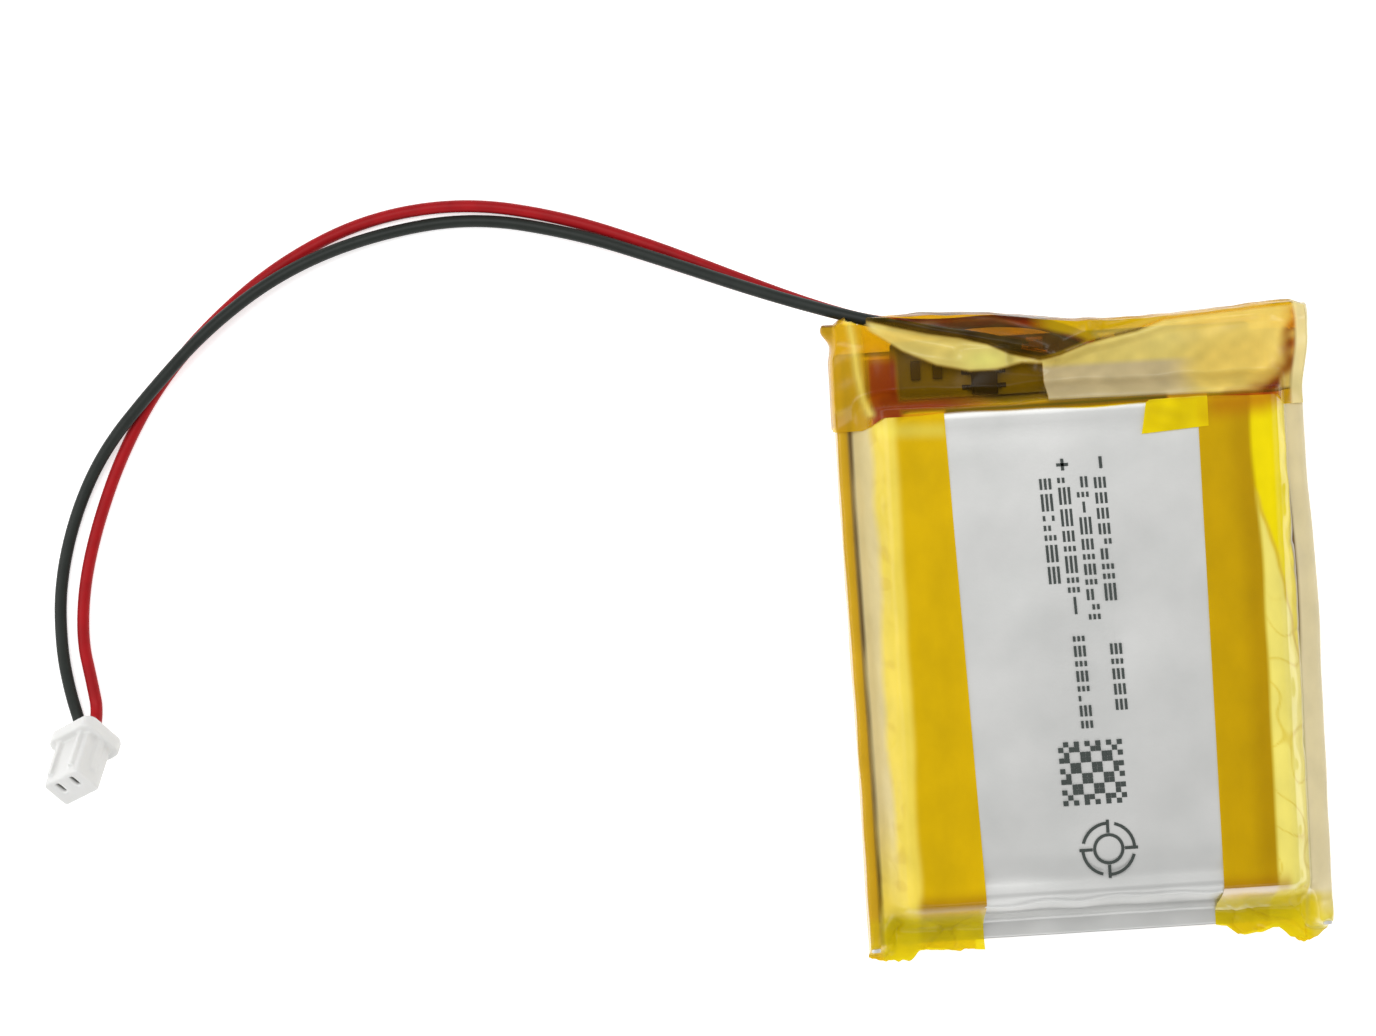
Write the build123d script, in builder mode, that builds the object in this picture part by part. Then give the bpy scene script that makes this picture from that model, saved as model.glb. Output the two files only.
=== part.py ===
"""Single-cell lithium-polymer pouch pack with a protection board, two leads and a two-way plug.

Millimetres. The pack lies on its back: X across it, +Y towards the board end, +Z out of its face.
The origin is at the middle of the wrapped pack's underside.
"""
import os
from math import pi, radians, tan

from build123d import *

# ---------------------------------------------------------------- driving dimensions
# wrapped pack
PACK_WIDTH = 30.0
PACK_LENGTH = 42.0
PACK_THICKNESS = 10.0

# tape and laminate
TAPE = 0.06              # polyimide film
FOIL = 0.15              # aluminium laminate of the pouch
TOUCH_GAP = 0.02         # clearance between wrapped layers

# pouch: two drawn cups, face to face on the seal plane
TAPE_TAIL = 1.3          # how far the edge tapes run past the folded end of the pouch
FOLD_WEB = 1.5           # flat lip between the folded end and the cup's mouth
BOARD_ZONE = 5.5         # from the cup's mouth to the board end of the pack
TERRACE = 3.2            # width of the sealed ledge that carries the board
SEAL_GAP = 0.74          # room between the cup's mouth and the folded side seal
SEAL_TOP = 2.8           # height of the folded side seal over the seal plane
DRAFT_SIDE = 1.0         # how far a side wall leans in from mouth to face
DRAFT_FOLD_END = 1.3     # the same at the folded end
DRAFT_BOARD_END = 0.2    # the same at the board end
MOUTH_CORNER = 2.6       # plan radius of the cup's corners at its mouth
FACE_CORNER = 2.0        # plan radius of the cup's corners at its face
SHOULDER = 0.9           # radius between face and walls

# flat winding
ELECTRODE = 0.40
SEPARATOR = 0.10
WINDING_SIDE_ROOM = 0.5
WINDING_END_ROOM = 0.7
WINDING_FACE_ROOM = 0.25
ANODE_OVERHANG = 0.3     # each end of the anode past the cathode, and of the separator past the anode
END_TAPE_WIDTH = 9.0

# tabs
TAB_WIDTH = 4.0
TAB = 0.10
TAB_PITCH = 12.0         # between the two tabs
TAB_IN_WINDING = 8.0
TAB_FILM = 0.05          # sealing film, each side of a tab
TAB_FILM_WIDTH = 6.0
TAB_FILM_PROUD = 0.3     # film past the edge of the terrace
TAB_FILM_INSIDE = 0.3    # film past the end wall, inside the cup
TAB_CLEAR = 0.1          # tab past the winding before it bends to the seal plane
TURN_CLEAR = 0.05        # tab past its film before it turns back
TAB_BEND = 0.2           # centreline radius of the turn back over the terrace

# protection board and its parts
PAPER = 0.10
WELD_PAD = (4.4, 2.2, 0.15)
BOARD = (23.0, 3.7, 0.8)
BOARD_GAP = 0.1          # between the cup's end wall and the board
BOARD_MARGIN = 0.1       # from the board's edge to the parts and pads beside it
CHIP = (1.6, 2.9, 1.05)
SWITCH = (3.0, 3.0, 0.95)
RESISTOR = (0.6, 1.2, 0.4)
CAPACITOR = (0.8, 1.6, 0.8)
BOARD_CORNER = 0.3
END_CAP_ROUND = 0.06
LEG = 0.15
LEG_WIDTH = 0.3
LEG_REACH = 0.6          # how far a leg stands out from its package
LEG_BENDS = (0.2, 0.35, 0.45, 0.6)   # places of its bends, as shares of its reach
CHIP_LEGS = (3, 0.95)    # legs on each side, and their pitch
SWITCH_LEGS = (4, 0.65)
LEAD_PAD = (1.5, 1.0)
SOLDER_HEIGHT = 0.95
SOLDER_TAPER = 18
SOLDER_CORNER = 0.3
CHIP_X = -5.65           # places along the board
SWITCH_X = 7.4
SENSE_RESISTOR_X = -8.6
SUPPLY_RESISTOR_X = -10.0
CAPACITOR_X = 4.4
LEAD_PAD_X = 2.3         # the two lead pads, either side of the middle

# leads and plug
LEAD_DIAMETER = 0.8
STRAND_DIAMETER = 0.4
STRIPPED = 1.7           # bare end on the board
LEAD_BOARD_GAP = 0.05    # between a lead and the board
FLOOR_GAP = 0.02
PLUG_PITCH = 1.25
COLLAR = (3.9, 3.4, 1.0)
COLLAR_CORNER = 0.7
NOSE = (3.15, 2.2, 3.45)
NOSE_CORNER = 0.25
LEAD_IN_PLUG = 0.9
CAVITY = (0.85, 1.2)
CAVITY_RISE = 0.1        # cavity axis above the lead's axis
FRONT_WALL = 0.4
PIN_SLOT = (0.3, 0.86)
PIN_SLOT_RISE = 0.3
KEY_RIB = (0.4, 0.3, 2.9)
KEY_RIB_PITCH = 1.9
END_RIB = (0.15, 0.6, 2.6)
CONTACT = (0.75, 0.95, 1.7)
CONTACT_GAP = 0.1        # between a lead's insulation and its contact
CONTACT_WALL = 0.12
CRIMP_LENGTH = 1.0
BARREL_RADIUS = 0.36

# tapes
STRIPE_HALF = 8.0        # half of the bare stripe between the edge tapes
TAPE_LAP = 0.7           # how far the end tape reaches onto the face
TAB_TAPE = (4.0, 2.0, 0.4)   # inner edge, length and slant of the extra tab
EXIT_X = -9.6            # inner edge of the end tape's opening for the leads
EXIT_SIZE = (1.4, 4.6)   # the opening's depth and height
EXIT_BELOW_SEAL = 1.2
TAPE_SLACK = 0.3         # between an edge tape and the back cup's wall
TAPE_UNDER_SEAL = 0.4    # edge tape below the seal, beside the cup's mouth
DRAPE_RUN = 1.0          # length over which the end tape drops from the face
DRAPE_OVER_BOARD = (2.0, 1.6, 0.8)   # its heights over the board: beside the cup, past the terrace, at the end
DRAPE_PAST_TERRACE = (1.2, 0.8)      # where it bends, over and under the terrace
DRAPE_BELOW_SEAL = (0.9, 1.4)        # its heights under the seal: at the end, and under the terrace

# ---------------------------------------------------------------- worked out from them
SEAL_Z = PACK_THICKNESS / 2
FACE_Z = PACK_THICKNESS - TAPE
HALF_LENGTH = PACK_LENGTH / 2
SEAL_OUTER_X = PACK_WIDTH / 2 - TAPE - TOUCH_GAP
SEAL_INNER_X = SEAL_OUTER_X - 4 * FOIL
MOUTH_X = SEAL_INNER_X - SEAL_GAP
FOLD_Y = -HALF_LENGTH + TAPE_TAIL
MOUTH_LOW_Y = FOLD_Y + FOLD_WEB
MOUTH_HIGH_Y = HALF_LENGTH - BOARD_ZONE
TERRACE_Y = MOUTH_HIGH_Y + TERRACE
CUP_DEPTH = FACE_Z - SEAL_Z
TERRACE_TOP = SEAL_Z + FOIL
SEAL_TOP_Z = SEAL_Z + SEAL_TOP

WINDING_LOW_Y = MOUTH_LOW_Y + DRAFT_FOLD_END + WINDING_END_ROOM
WINDING_HIGH_Y = MOUTH_HIGH_Y - DRAFT_BOARD_END - WINDING_END_ROOM
CORE_HALF = TAB + SEPARATOR / 2
LAYER_PITCH = ELECTRODE + SEPARATOR + 2 * TOUCH_GAP
WINDING_HALF = CUP_DEPTH - FOIL - WINDING_FACE_ROOM
HALF_TURNS = int((WINDING_HALF - CORE_HALF - LAYER_PITCH) / LAYER_PITCH)
OUTER_RADIUS = CORE_HALF + LAYER_PITCH * (HALF_TURNS + 1)
CORE_X = MOUTH_X - FOIL - WINDING_SIDE_ROOM - OUTER_RADIUS

TAB_X = TAB_PITCH / 2
TAB_RETURN_Z = SEAL_Z + 2 * TAB_BEND
PAD_Z = TAB_RETURN_Z + TAB / 2
BOARD_Z = PAD_Z + WELD_PAD[2]
BOARD_TOP = BOARD_Z + BOARD[2]
BOARD_LOW_Y = MOUTH_HIGH_Y + BOARD_GAP
BOARD_Y = BOARD_LOW_Y + BOARD[1] / 2
LEAD_RADIUS = LEAD_DIAMETER / 2
LEAD_Z = BOARD_TOP + LEAD_RADIUS + LEAD_BOARD_GAP

CHIP_Y = BOARD_LOW_Y + CHIP[1] / 2 + BOARD_MARGIN
LEAD_PAD_Y = BOARD_LOW_Y + BOARD[1] - LEAD_PAD[1] / 2 - BOARD_MARGIN

# The plug stands on the lower corner of its collar, nose up. Its plane has X along the row of
# contacts, Y towards the key ribs and Z towards the nose, with its origin on the rear face.
PLUG_REAR = Vector(-64.9, -3.4, 1.51)
PLUG_ROW = Vector(0.786, 0.3776, 0.4895)
PLUG_NOSE = Vector(-0.1807, -0.6169, 0.766)
PLUG_PLANE = Plane(origin=PLUG_REAR, x_dir=PLUG_ROW, z_dir=PLUG_NOSE)
FLOOR_Z = LEAD_RADIUS + FLOOR_GAP


def plug_point(side, depth):
    """Point on a contact's axis; depth is measured from the plug's rear face towards its nose."""
    return PLUG_PLANE.from_local_coords(Vector(side * PLUG_PITCH / 2, 0, depth))


# Routes of the two leads, from the board to the plug.
BLACK_ROUTE = [
    (-3.2, 18.6, LEAD_Z),
    (-5.8, 19.3, LEAD_Z),
    (-8.9, 19.9, 6.75),
    (-12.5, 20.7, 6.4),
    (-16.4, 21.9, 5.7),
    (-20.6, 23.4, 4.2),
    (-25.4, 25.3, 2.2),
    (-31.0, 27.4, 0.8),
    (-37.7, 28.9, FLOOR_Z),
    (-44.4, 28.1, 0.75),
    (-50.2, 26.1, 1.4),
    (-55.2, 22.8, 1.45),
    (-59.2, 18.9, 1.35),
    (-62.6, 15.2, 0.8),
    (-64.8, 11.1, FLOOR_Z),
    (-66.1, 6.6, FLOOR_Z),
    (-66.3, 2.4, FLOOR_Z),
    (-65.9, -0.7, FLOOR_Z),
    tuple(plug_point(-1, -0.78)),
    tuple(plug_point(-1, LEAD_IN_PLUG)),
]
RED_ROUTE = [
    (1.4, 18.6, LEAD_Z),
    (-1.0, 19.85, LEAD_Z),
    (-4.4, 20.35, 6.0),
    (-8.4, 20.35, 5.3),
    (-12.4, 20.8, 5.1),
    (-16.3, 22.2, 4.3),
    (-20.9, 24.1, 2.8),
    (-26.2, 26.6, 1.1),
    (-32.0, 28.8, FLOOR_Z),
    (-38.2, 30.1, FLOOR_Z),
    (-44.6, 29.5, FLOOR_Z),
    (-50.4, 26.8, FLOOR_Z),
    (-55.2, 23.0, FLOOR_Z),
    (-58.8, 19.2, FLOOR_Z),
    (-61.4, 15.0, FLOOR_Z),
    (-63.3, 10.6, FLOOR_Z),
    (-64.5, 6.6, FLOOR_Z),
    (-64.9, 2.9, FLOOR_Z),
    (-64.5, 0.3, FLOOR_Z),
    tuple(plug_point(1, -1.5)),
    tuple(plug_point(1, LEAD_IN_PLUG)),
]


# ---------------------------------------------------------------- shared shapes
def cup_outline(half_width, low_y, high_y, corner):
    """Rounded rectangle of a cup, as a sketch on the XY plane."""
    with BuildSketch() as outline:
        with Locations((0, (low_y + high_y) / 2)):
            RectangleRounded(2 * half_width, high_y - low_y, corner)
    return outline.sketch


def drawn_cup(inset, facing):
    """Solid of a drawn cup from the seal plane out, inset all round; facing is 1 for the front."""
    mouth = cup_outline(MOUTH_X - inset, MOUTH_LOW_Y + inset, MOUTH_HIGH_Y - inset,
                        MOUTH_CORNER - inset)
    face = cup_outline(MOUTH_X - DRAFT_SIDE - inset, MOUTH_LOW_Y + DRAFT_FOLD_END + inset,
                       MOUTH_HIGH_Y - DRAFT_BOARD_END - inset, FACE_CORNER - inset)
    depth = facing * (CUP_DEPTH - inset)
    with BuildPart(mode=Mode.PRIVATE) as cup:
        loft(sections=[mouth.moved(Location((0, 0, SEAL_Z))),
                       face.moved(Location((0, 0, SEAL_Z + depth)))])
        rim = cup.faces().sort_by(Axis.Z)[-1 if facing > 0 else 0]
        fillet(rim.edges(), SHOULDER - inset)
    return cup.part


def strip_profile(points, thickness, side):
    """Closed outline of a thin bent strip whose one side follows the points."""
    with BuildSketch(mode=Mode.PRIVATE) as strip:
        with BuildLine() as path:
            Polyline(*points)
            offset(amount=thickness, side=side, kind=Kind.INTERSECTION)
        make_face()
    return strip.sketch


def winding_profile(inner, thickness, turn):
    """Flat two-centre spiral strip round the core; turn is 1, or -1 for its half-turned partner."""
    with BuildSketch(mode=Mode.PRIVATE) as strip:
        with BuildLine():
            ends = []
            for radius in (inner, inner + thickness):
                side = 1
                x = -CORE_X
                ends.append([(turn * x, turn * radius)])
                for _ in range(HALF_TURNS):
                    x = side * CORE_X
                    low = radius + LAYER_PITCH
                    middle = side * (radius - low) / 2
                    reach = (radius + low) / 2
                    Line(ends[-1][-1], (turn * x, turn * side * radius))
                    ThreePointArc((turn * x, turn * side * radius),
                                  (turn * (x + side * reach), turn * middle),
                                  (turn * x, -turn * side * low))
                    ends[-1].append((turn * x, -turn * side * low))
                    radius = low
                    side = -side
                last = (0, turn * side * radius)
                Line(ends[-1][-1], last)
                ends[-1].append(last)
            Line(ends[0][0], ends[1][0])
            Line(ends[0][-1], ends[1][-1])
        make_face()
    return strip.sketch


def xz_plane(y):
    """Plane across the pack at y; an extrusion from it runs towards -Y."""
    return Plane.XZ.offset(-y)


def lead_radii(route):
    """Arc radius at each corner: 0.45 of the shorter run over the tangent of half the turn."""
    points = [Vector(*p) for p in route]
    radii = []
    for before, here, after in zip(points, points[1:], points[2:]):
        first, second = here - before, after - here
        turn = radians(first.get_angle(second))
        radii.append(0.45 * min(first.length, second.length) / tan(turn / 2))
    return radii


os.makedirs("parts", exist_ok=True)

# ---------------------------------------------------------------- pouch
front_cup = drawn_cup(0, 1)
front_room = drawn_cup(FOIL, 1)
back_cup = drawn_cup(0, -1)
back_room = drawn_cup(FOIL, -1)
FILM_LOW_Y = MOUTH_HIGH_Y - FOIL - TAB_FILM_INSIDE
FILM_HIGH_Y = TERRACE_Y + TAB_FILM_PROUD
FILM_LENGTH = FILM_HIGH_Y - FILM_LOW_Y
FILM_THICKNESS = TAB + 2 * TAB_FILM
SHEET_LENGTH = TERRACE_Y - FOLD_Y
SHEET_Y = (TERRACE_Y + FOLD_Y) / 2

with BuildPart() as front_pouch_half:
    add(front_cup)
    with BuildSketch(Plane.XY.offset(SEAL_Z)):
        with Locations((0, SHEET_Y)):
            Rectangle(2 * (SEAL_OUTER_X - FOIL), SHEET_LENGTH)
    extrude(amount=FOIL)
    with BuildSketch(xz_plane(TERRACE_Y)):
        for side in (-1, 1):
            with Locations((side * (SEAL_OUTER_X - 2 * FOIL), (SEAL_Z + SEAL_TOP_Z - FOIL) / 2)):
                Rectangle(2 * FOIL, SEAL_TOP - FOIL)
    extrude(amount=SHEET_LENGTH)
    add(front_room, mode=Mode.SUBTRACT)
    with BuildSketch(Plane.XY.offset(SEAL_Z)):
        with Locations(*[(side * TAB_X, FILM_LOW_Y + FILM_LENGTH / 2) for side in (-1, 1)]):
            Rectangle(TAB_FILM_WIDTH, FILM_LENGTH)
    extrude(amount=FILM_THICKNESS / 2, mode=Mode.SUBTRACT)
front_pouch_half.part.label = "front_pouch_half"
export_step(front_pouch_half.part, "parts/front_pouch_half.step")

with BuildPart() as back_pouch_half:
    add(back_cup)
    with BuildSketch(Plane.XY.offset(SEAL_Z)):
        with Locations((0, SHEET_Y)):
            Rectangle(2 * SEAL_OUTER_X, SHEET_LENGTH)
    extrude(amount=-FOIL)
    with BuildSketch(xz_plane(TERRACE_Y)):
        for side in (-1, 1):
            with BuildLine():
                Polyline(
                    (side * (SEAL_OUTER_X - FOIL), SEAL_Z - FOIL / 2),
                    (side * SEAL_OUTER_X, SEAL_Z - FOIL / 2),
                    (side * SEAL_OUTER_X, SEAL_TOP_Z),
                    (side * SEAL_INNER_X, SEAL_TOP_Z),
                    (side * SEAL_INNER_X, TERRACE_TOP + FOIL),
                    (side * (SEAL_INNER_X + FOIL), TERRACE_TOP + FOIL),
                    (side * (SEAL_INNER_X + FOIL), SEAL_TOP_Z - FOIL),
                    (side * (SEAL_OUTER_X - FOIL), SEAL_TOP_Z - FOIL),
                    close=True,
                )
            make_face()
    extrude(amount=SHEET_LENGTH)
    add(back_room, mode=Mode.SUBTRACT)
    with BuildSketch(Plane.XY.offset(SEAL_Z)):
        with Locations(*[(side * TAB_X, FILM_LOW_Y + FILM_LENGTH / 2) for side in (-1, 1)]):
            Rectangle(TAB_FILM_WIDTH, FILM_LENGTH)
    extrude(amount=-FILM_THICKNESS / 2, mode=Mode.SUBTRACT)
back_pouch_half.part.label = "back_pouch_half"
export_step(back_pouch_half.part, "parts/back_pouch_half.step")

# ---------------------------------------------------------------- winding
CATHODE_LENGTH = WINDING_HIGH_Y - WINDING_LOW_Y - 4 * ANODE_OVERHANG
SEPARATOR_START = CORE_HALF + ELECTRODE + TOUCH_GAP


def winding_plane(overhang):
    """Plane at the board end of a wound layer."""
    return Plane(origin=(0, WINDING_HIGH_Y - overhang, SEAL_Z), x_dir=(1, 0, 0), z_dir=(0, -1, 0))


with BuildPart() as cathode_winding:
    with BuildSketch(winding_plane(2 * ANODE_OVERHANG)):
        add(winding_profile(CORE_HALF, ELECTRODE, 1))
    extrude(amount=CATHODE_LENGTH)
cathode_winding.part.label = "cathode_winding"
export_step(cathode_winding.part, "parts/cathode_winding.step")

with BuildPart() as anode_winding:
    with BuildSketch(winding_plane(ANODE_OVERHANG)):
        add(winding_profile(CORE_HALF, ELECTRODE, -1))
    extrude(amount=CATHODE_LENGTH + 2 * ANODE_OVERHANG)
anode_winding.part.label = "anode_winding"
export_step(anode_winding.part, "parts/anode_winding.step")

with BuildPart() as separator_winding:
    with BuildSketch(winding_plane(0)):
        add(winding_profile(SEPARATOR_START, SEPARATOR, 1))
        add(winding_profile(SEPARATOR_START, SEPARATOR, -1))
        Rectangle(2 * CORE_X, SEPARATOR)
    extrude(amount=CATHODE_LENGTH + 4 * ANODE_OVERHANG)
separator_winding.part.label = "separator_winding"
export_step(separator_winding.part, "parts/separator_winding.step")

# closes the outer end of the winding, on whichever flat the outer layer ends
LAST_SIDE = 1 if HALF_TURNS % 2 == 0 else -1
with BuildPart() as winding_end_tape:
    with BuildSketch(Plane.XY.offset(SEAL_Z + LAST_SIDE * (OUTER_RADIUS - TOUCH_GAP))):
        with Locations((0, (WINDING_LOW_Y + WINDING_HIGH_Y) / 2)):
            Rectangle(END_TAPE_WIDTH, CATHODE_LENGTH)
    extrude(amount=LAST_SIDE * TAPE)
winding_end_tape.part.label = "winding_end_tape"
export_step(winding_end_tape.part, "parts/winding_end_tape.step")

# ---------------------------------------------------------------- tabs, films, weld pads
TURN_Y = FILM_HIGH_Y + TURN_CLEAR
BACK_Y = BOARD_Y - WELD_PAD[1] / 2


def tab_profile(rise):
    """Side view of a tab: it leaves the core at rise and turns back over the terrace."""
    with BuildSketch(mode=Mode.PRIVATE) as side_view:
        with BuildLine():
            inner = (WINDING_HIGH_Y - TAB_IN_WINDING, SEAL_Z + rise)
            bend = (WINDING_HIGH_Y + TAB_CLEAR, SEAL_Z + rise)
            level = (FILM_LOW_Y, SEAL_Z)
            turn = (TURN_Y, SEAL_Z)
            returned = (TURN_Y, TAB_RETURN_Z)
            Polyline(inner, bend, level, turn)
            ThreePointArc(turn, (TURN_Y + TAB_BEND, SEAL_Z + TAB_BEND), returned)
            Line(returned, (BACK_Y, TAB_RETURN_Z))
            offset(amount=TAB / 2, kind=Kind.INTERSECTION)
        make_face()
    return side_view.sketch


for side, name in ((-1, "positive"), (1, "negative")):
    x = side * TAB_X
    with BuildPart() as cell_tab:
        with BuildSketch(Plane.YZ.offset(x)):
            add(tab_profile(-side * (CORE_HALF - TAB / 2)))
        extrude(amount=TAB_WIDTH / 2, both=True)
    cell_tab.part.label = f"{name}_tab"
    export_step(cell_tab.part, f"parts/{name}_tab.step")

    with BuildPart() as tab_film:
        with BuildSketch(Plane.XY.offset(SEAL_Z)):
            with Locations((x, FILM_LOW_Y + FILM_LENGTH / 2)):
                Rectangle(TAB_FILM_WIDTH, FILM_LENGTH)
        extrude(amount=FILM_THICKNESS / 2, both=True)
        add(cell_tab.part, mode=Mode.SUBTRACT)
    tab_film.part.label = f"{name}_tab_film"
    export_step(tab_film.part, f"parts/{name}_tab_film.step")

    with BuildPart() as weld_pad:
        with BuildSketch(Plane.XY.offset(PAD_Z)):
            with Locations((x, BOARD_Y)):
                Rectangle(WELD_PAD[0], WELD_PAD[1])
        extrude(amount=WELD_PAD[2])
    weld_pad.part.label = f"{name}_weld_pad"
    export_step(weld_pad.part, f"parts/{name}_weld_pad.step")

# ---------------------------------------------------------------- protection board
PAPER_LENGTH = TERRACE - 2 * TOUCH_GAP
with BuildPart() as insulating_paper:
    with BuildSketch(Plane.XY.offset(TERRACE_TOP)):
        with Locations((0, TERRACE_Y - PAPER_LENGTH / 2)):
            Rectangle(BOARD[0], PAPER_LENGTH)
    extrude(amount=PAPER)
insulating_paper.part.label = "insulating_paper"
export_step(insulating_paper.part, "parts/insulating_paper.step")

with BuildPart() as circuit_board:
    with BuildSketch(Plane.XY.offset(BOARD_Z)):
        with Locations((0, BOARD_Y)):
            Rectangle(BOARD[0], BOARD[1])
    extrude(amount=BOARD[2])
    fillet(circuit_board.edges().filter_by(Axis.Z), BOARD_CORNER)
circuit_board.part.label = "circuit_board"
export_step(circuit_board.part, "parts/circuit_board.step")


def leg_profile(height):
    """Gull-wing leg seen from its side: foot outside, bend, and a top that meets the body."""
    with BuildSketch(mode=Mode.PRIVATE) as leg:
        with BuildLine():
            Polyline(
                (0, height),
                (LEG_REACH * LEG_BENDS[1], height),
                (LEG_REACH * LEG_BENDS[3], LEG),
                (LEG_REACH, LEG),
                (LEG_REACH, 0),
                (LEG_REACH * LEG_BENDS[2], 0),
                (LEG_REACH * LEG_BENDS[0], height - LEG),
                (0, height - LEG),
                close=True,
            )
        make_face()
    return leg.sketch


def legged_package(body, legs, pitch):
    """Small moulded package with legs along its two X sides, standing on the XY plane."""
    with BuildPart(mode=Mode.PRIVATE) as package:
        with BuildSketch(Plane.XY.offset(LEG / 2)):
            Rectangle(body[0], body[1])
        extrude(amount=body[2] - LEG / 2)
        chamfer(package.faces().sort_by(Axis.Z)[-1].edges(), LEG / 2)
        profile = leg_profile(body[2] / 2)
        for row in range(legs):
            y = (row - (legs - 1) / 2) * pitch
            for side in (0, 180):
                with BuildSketch(Plane.XZ) as leg_face:
                    add(profile)
                blade = extrude(leg_face.sketch, amount=LEG_WIDTH / 2, both=True, mode=Mode.PRIVATE)
                turned = blade.moved(Location((body[0] / 2, 0, 0))).rotate(Axis.Z, side)
                add(turned.moved(Location((0, y, 0))))
    return package.part


with BuildPart() as protection_chip:
    with Locations((CHIP_X, CHIP_Y, BOARD_TOP)):
        add(legged_package(CHIP, *CHIP_LEGS))
protection_chip.part.label = "protection_chip"
export_step(protection_chip.part, "parts/protection_chip.step")

with BuildPart() as switch_transistor:
    with Locations((SWITCH_X, BOARD_Y, BOARD_TOP)):
        add(legged_package(SWITCH, *SWITCH_LEGS))
switch_transistor.part.label = "switch_transistor"
export_step(switch_transistor.part, "parts/switch_transistor.step")

CHIP_PARTS = (
    ("sense_resistor", RESISTOR, (SENSE_RESISTOR_X, BOARD_Y)),
    ("supply_resistor", RESISTOR, (SUPPLY_RESISTOR_X, BOARD_Y)),
    ("filter_capacitor", CAPACITOR, (CAPACITOR_X, BOARD_Y)),
)
for name, size, place in CHIP_PARTS:
    with BuildPart() as chip_part:
        with BuildSketch(Plane.XY.offset(BOARD_TOP)):
            with Locations(place):
                Rectangle(size[0], size[1])
        extrude(amount=size[2])
        ends = chip_part.faces().filter_by(Axis.Y)
        fillet(ends.edges(), END_CAP_ROUND)
    chip_part.part.label = name
    export_step(chip_part.part, f"parts/{name}.step")

# ---------------------------------------------------------------- leads, from board to plug
LEADS = (
    ("red", RED_ROUTE, LEAD_PAD_X, 1),
    ("black", BLACK_ROUTE, -LEAD_PAD_X, -1),
)
for name, route, pad_x, side in LEADS:
    radii = lead_radii(route)
    with BuildPart() as lead:
        with BuildLine() as lead_path:
            FilletPolyline(*route, radius=radii)
        with BuildSketch(Plane(origin=lead_path.line @ 0, z_dir=lead_path.line % 0)):
            Circle(LEAD_RADIUS)
        sweep()
    lead.part.label = f"{name}_lead"
    export_step(lead.part, f"parts/{name}_lead.step")
    print(name, "lead radii", [round(radius, 1) for radius in radii])
    section = pi * LEAD_RADIUS ** 2
    print(name, "lead length", round(lead_path.wire().length, 2),
          "volume over section", round(lead.part.volume / section, 2))

    # bare strand at both ends: on the board pad, and in the crimp barrel
    board_end = Plane(origin=lead_path.line @ 0, z_dir=-(lead_path.line % 0))
    plug_end = Plane(origin=plug_point(side, LEAD_IN_PLUG), x_dir=PLUG_ROW, z_dir=PLUG_NOSE)
    with BuildPart() as lead_end:
        with BuildSketch(board_end, plug_end):
            Circle(STRAND_DIAMETER / 2)
        extrude(amount=STRIPPED)
    lead_end.part.label = f"{name}_lead_end"
    export_step(lead_end.part, f"parts/{name}_lead_end.step")

    with BuildPart() as solder_joint:
        with BuildSketch(Plane.XY.offset(BOARD_TOP)):
            with Locations((pad_x, LEAD_PAD_Y)):
                RectangleRounded(LEAD_PAD[0], LEAD_PAD[1], SOLDER_CORNER)
        extrude(amount=SOLDER_HEIGHT, taper=SOLDER_TAPER)
        add(lead_end.part, mode=Mode.SUBTRACT)
        add(lead.part, mode=Mode.SUBTRACT)
    solder_joint.part.label = f"{name}_solder_joint"
    export_step(solder_joint.part, f"parts/{name}_solder_joint.step")

    # crimp contact: a mating box and a barrel round the strand
    contact_plane = PLUG_PLANE.offset(LEAD_IN_PLUG + CONTACT_GAP)
    across = side * PLUG_PITCH / 2
    with BuildPart() as crimp_contact:
        with BuildSketch(contact_plane):
            with Locations((across, 0)):
                Circle(BARREL_RADIUS)
        extrude(amount=CRIMP_LENGTH)
        with BuildSketch(contact_plane.offset(CRIMP_LENGTH)):
            with Locations((across, CAVITY_RISE)):
                Rectangle(CONTACT[0], CONTACT[1])
                Rectangle(CONTACT[0] - 2 * CONTACT_WALL, CONTACT[1] - 2 * CONTACT_WALL,
                          mode=Mode.SUBTRACT)
        extrude(amount=CONTACT[2])
        with BuildSketch(contact_plane.offset(CRIMP_LENGTH)):
            with Locations((across, CAVITY_RISE)):
                Rectangle(CONTACT[0], CONTACT[1])
        extrude(amount=CONTACT_WALL)
        add(lead_end.part, mode=Mode.SUBTRACT)
    crimp_contact.part.label = f"{name}_crimp_contact"
    export_step(crimp_contact.part, f"parts/{name}_crimp_contact.step")

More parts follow.
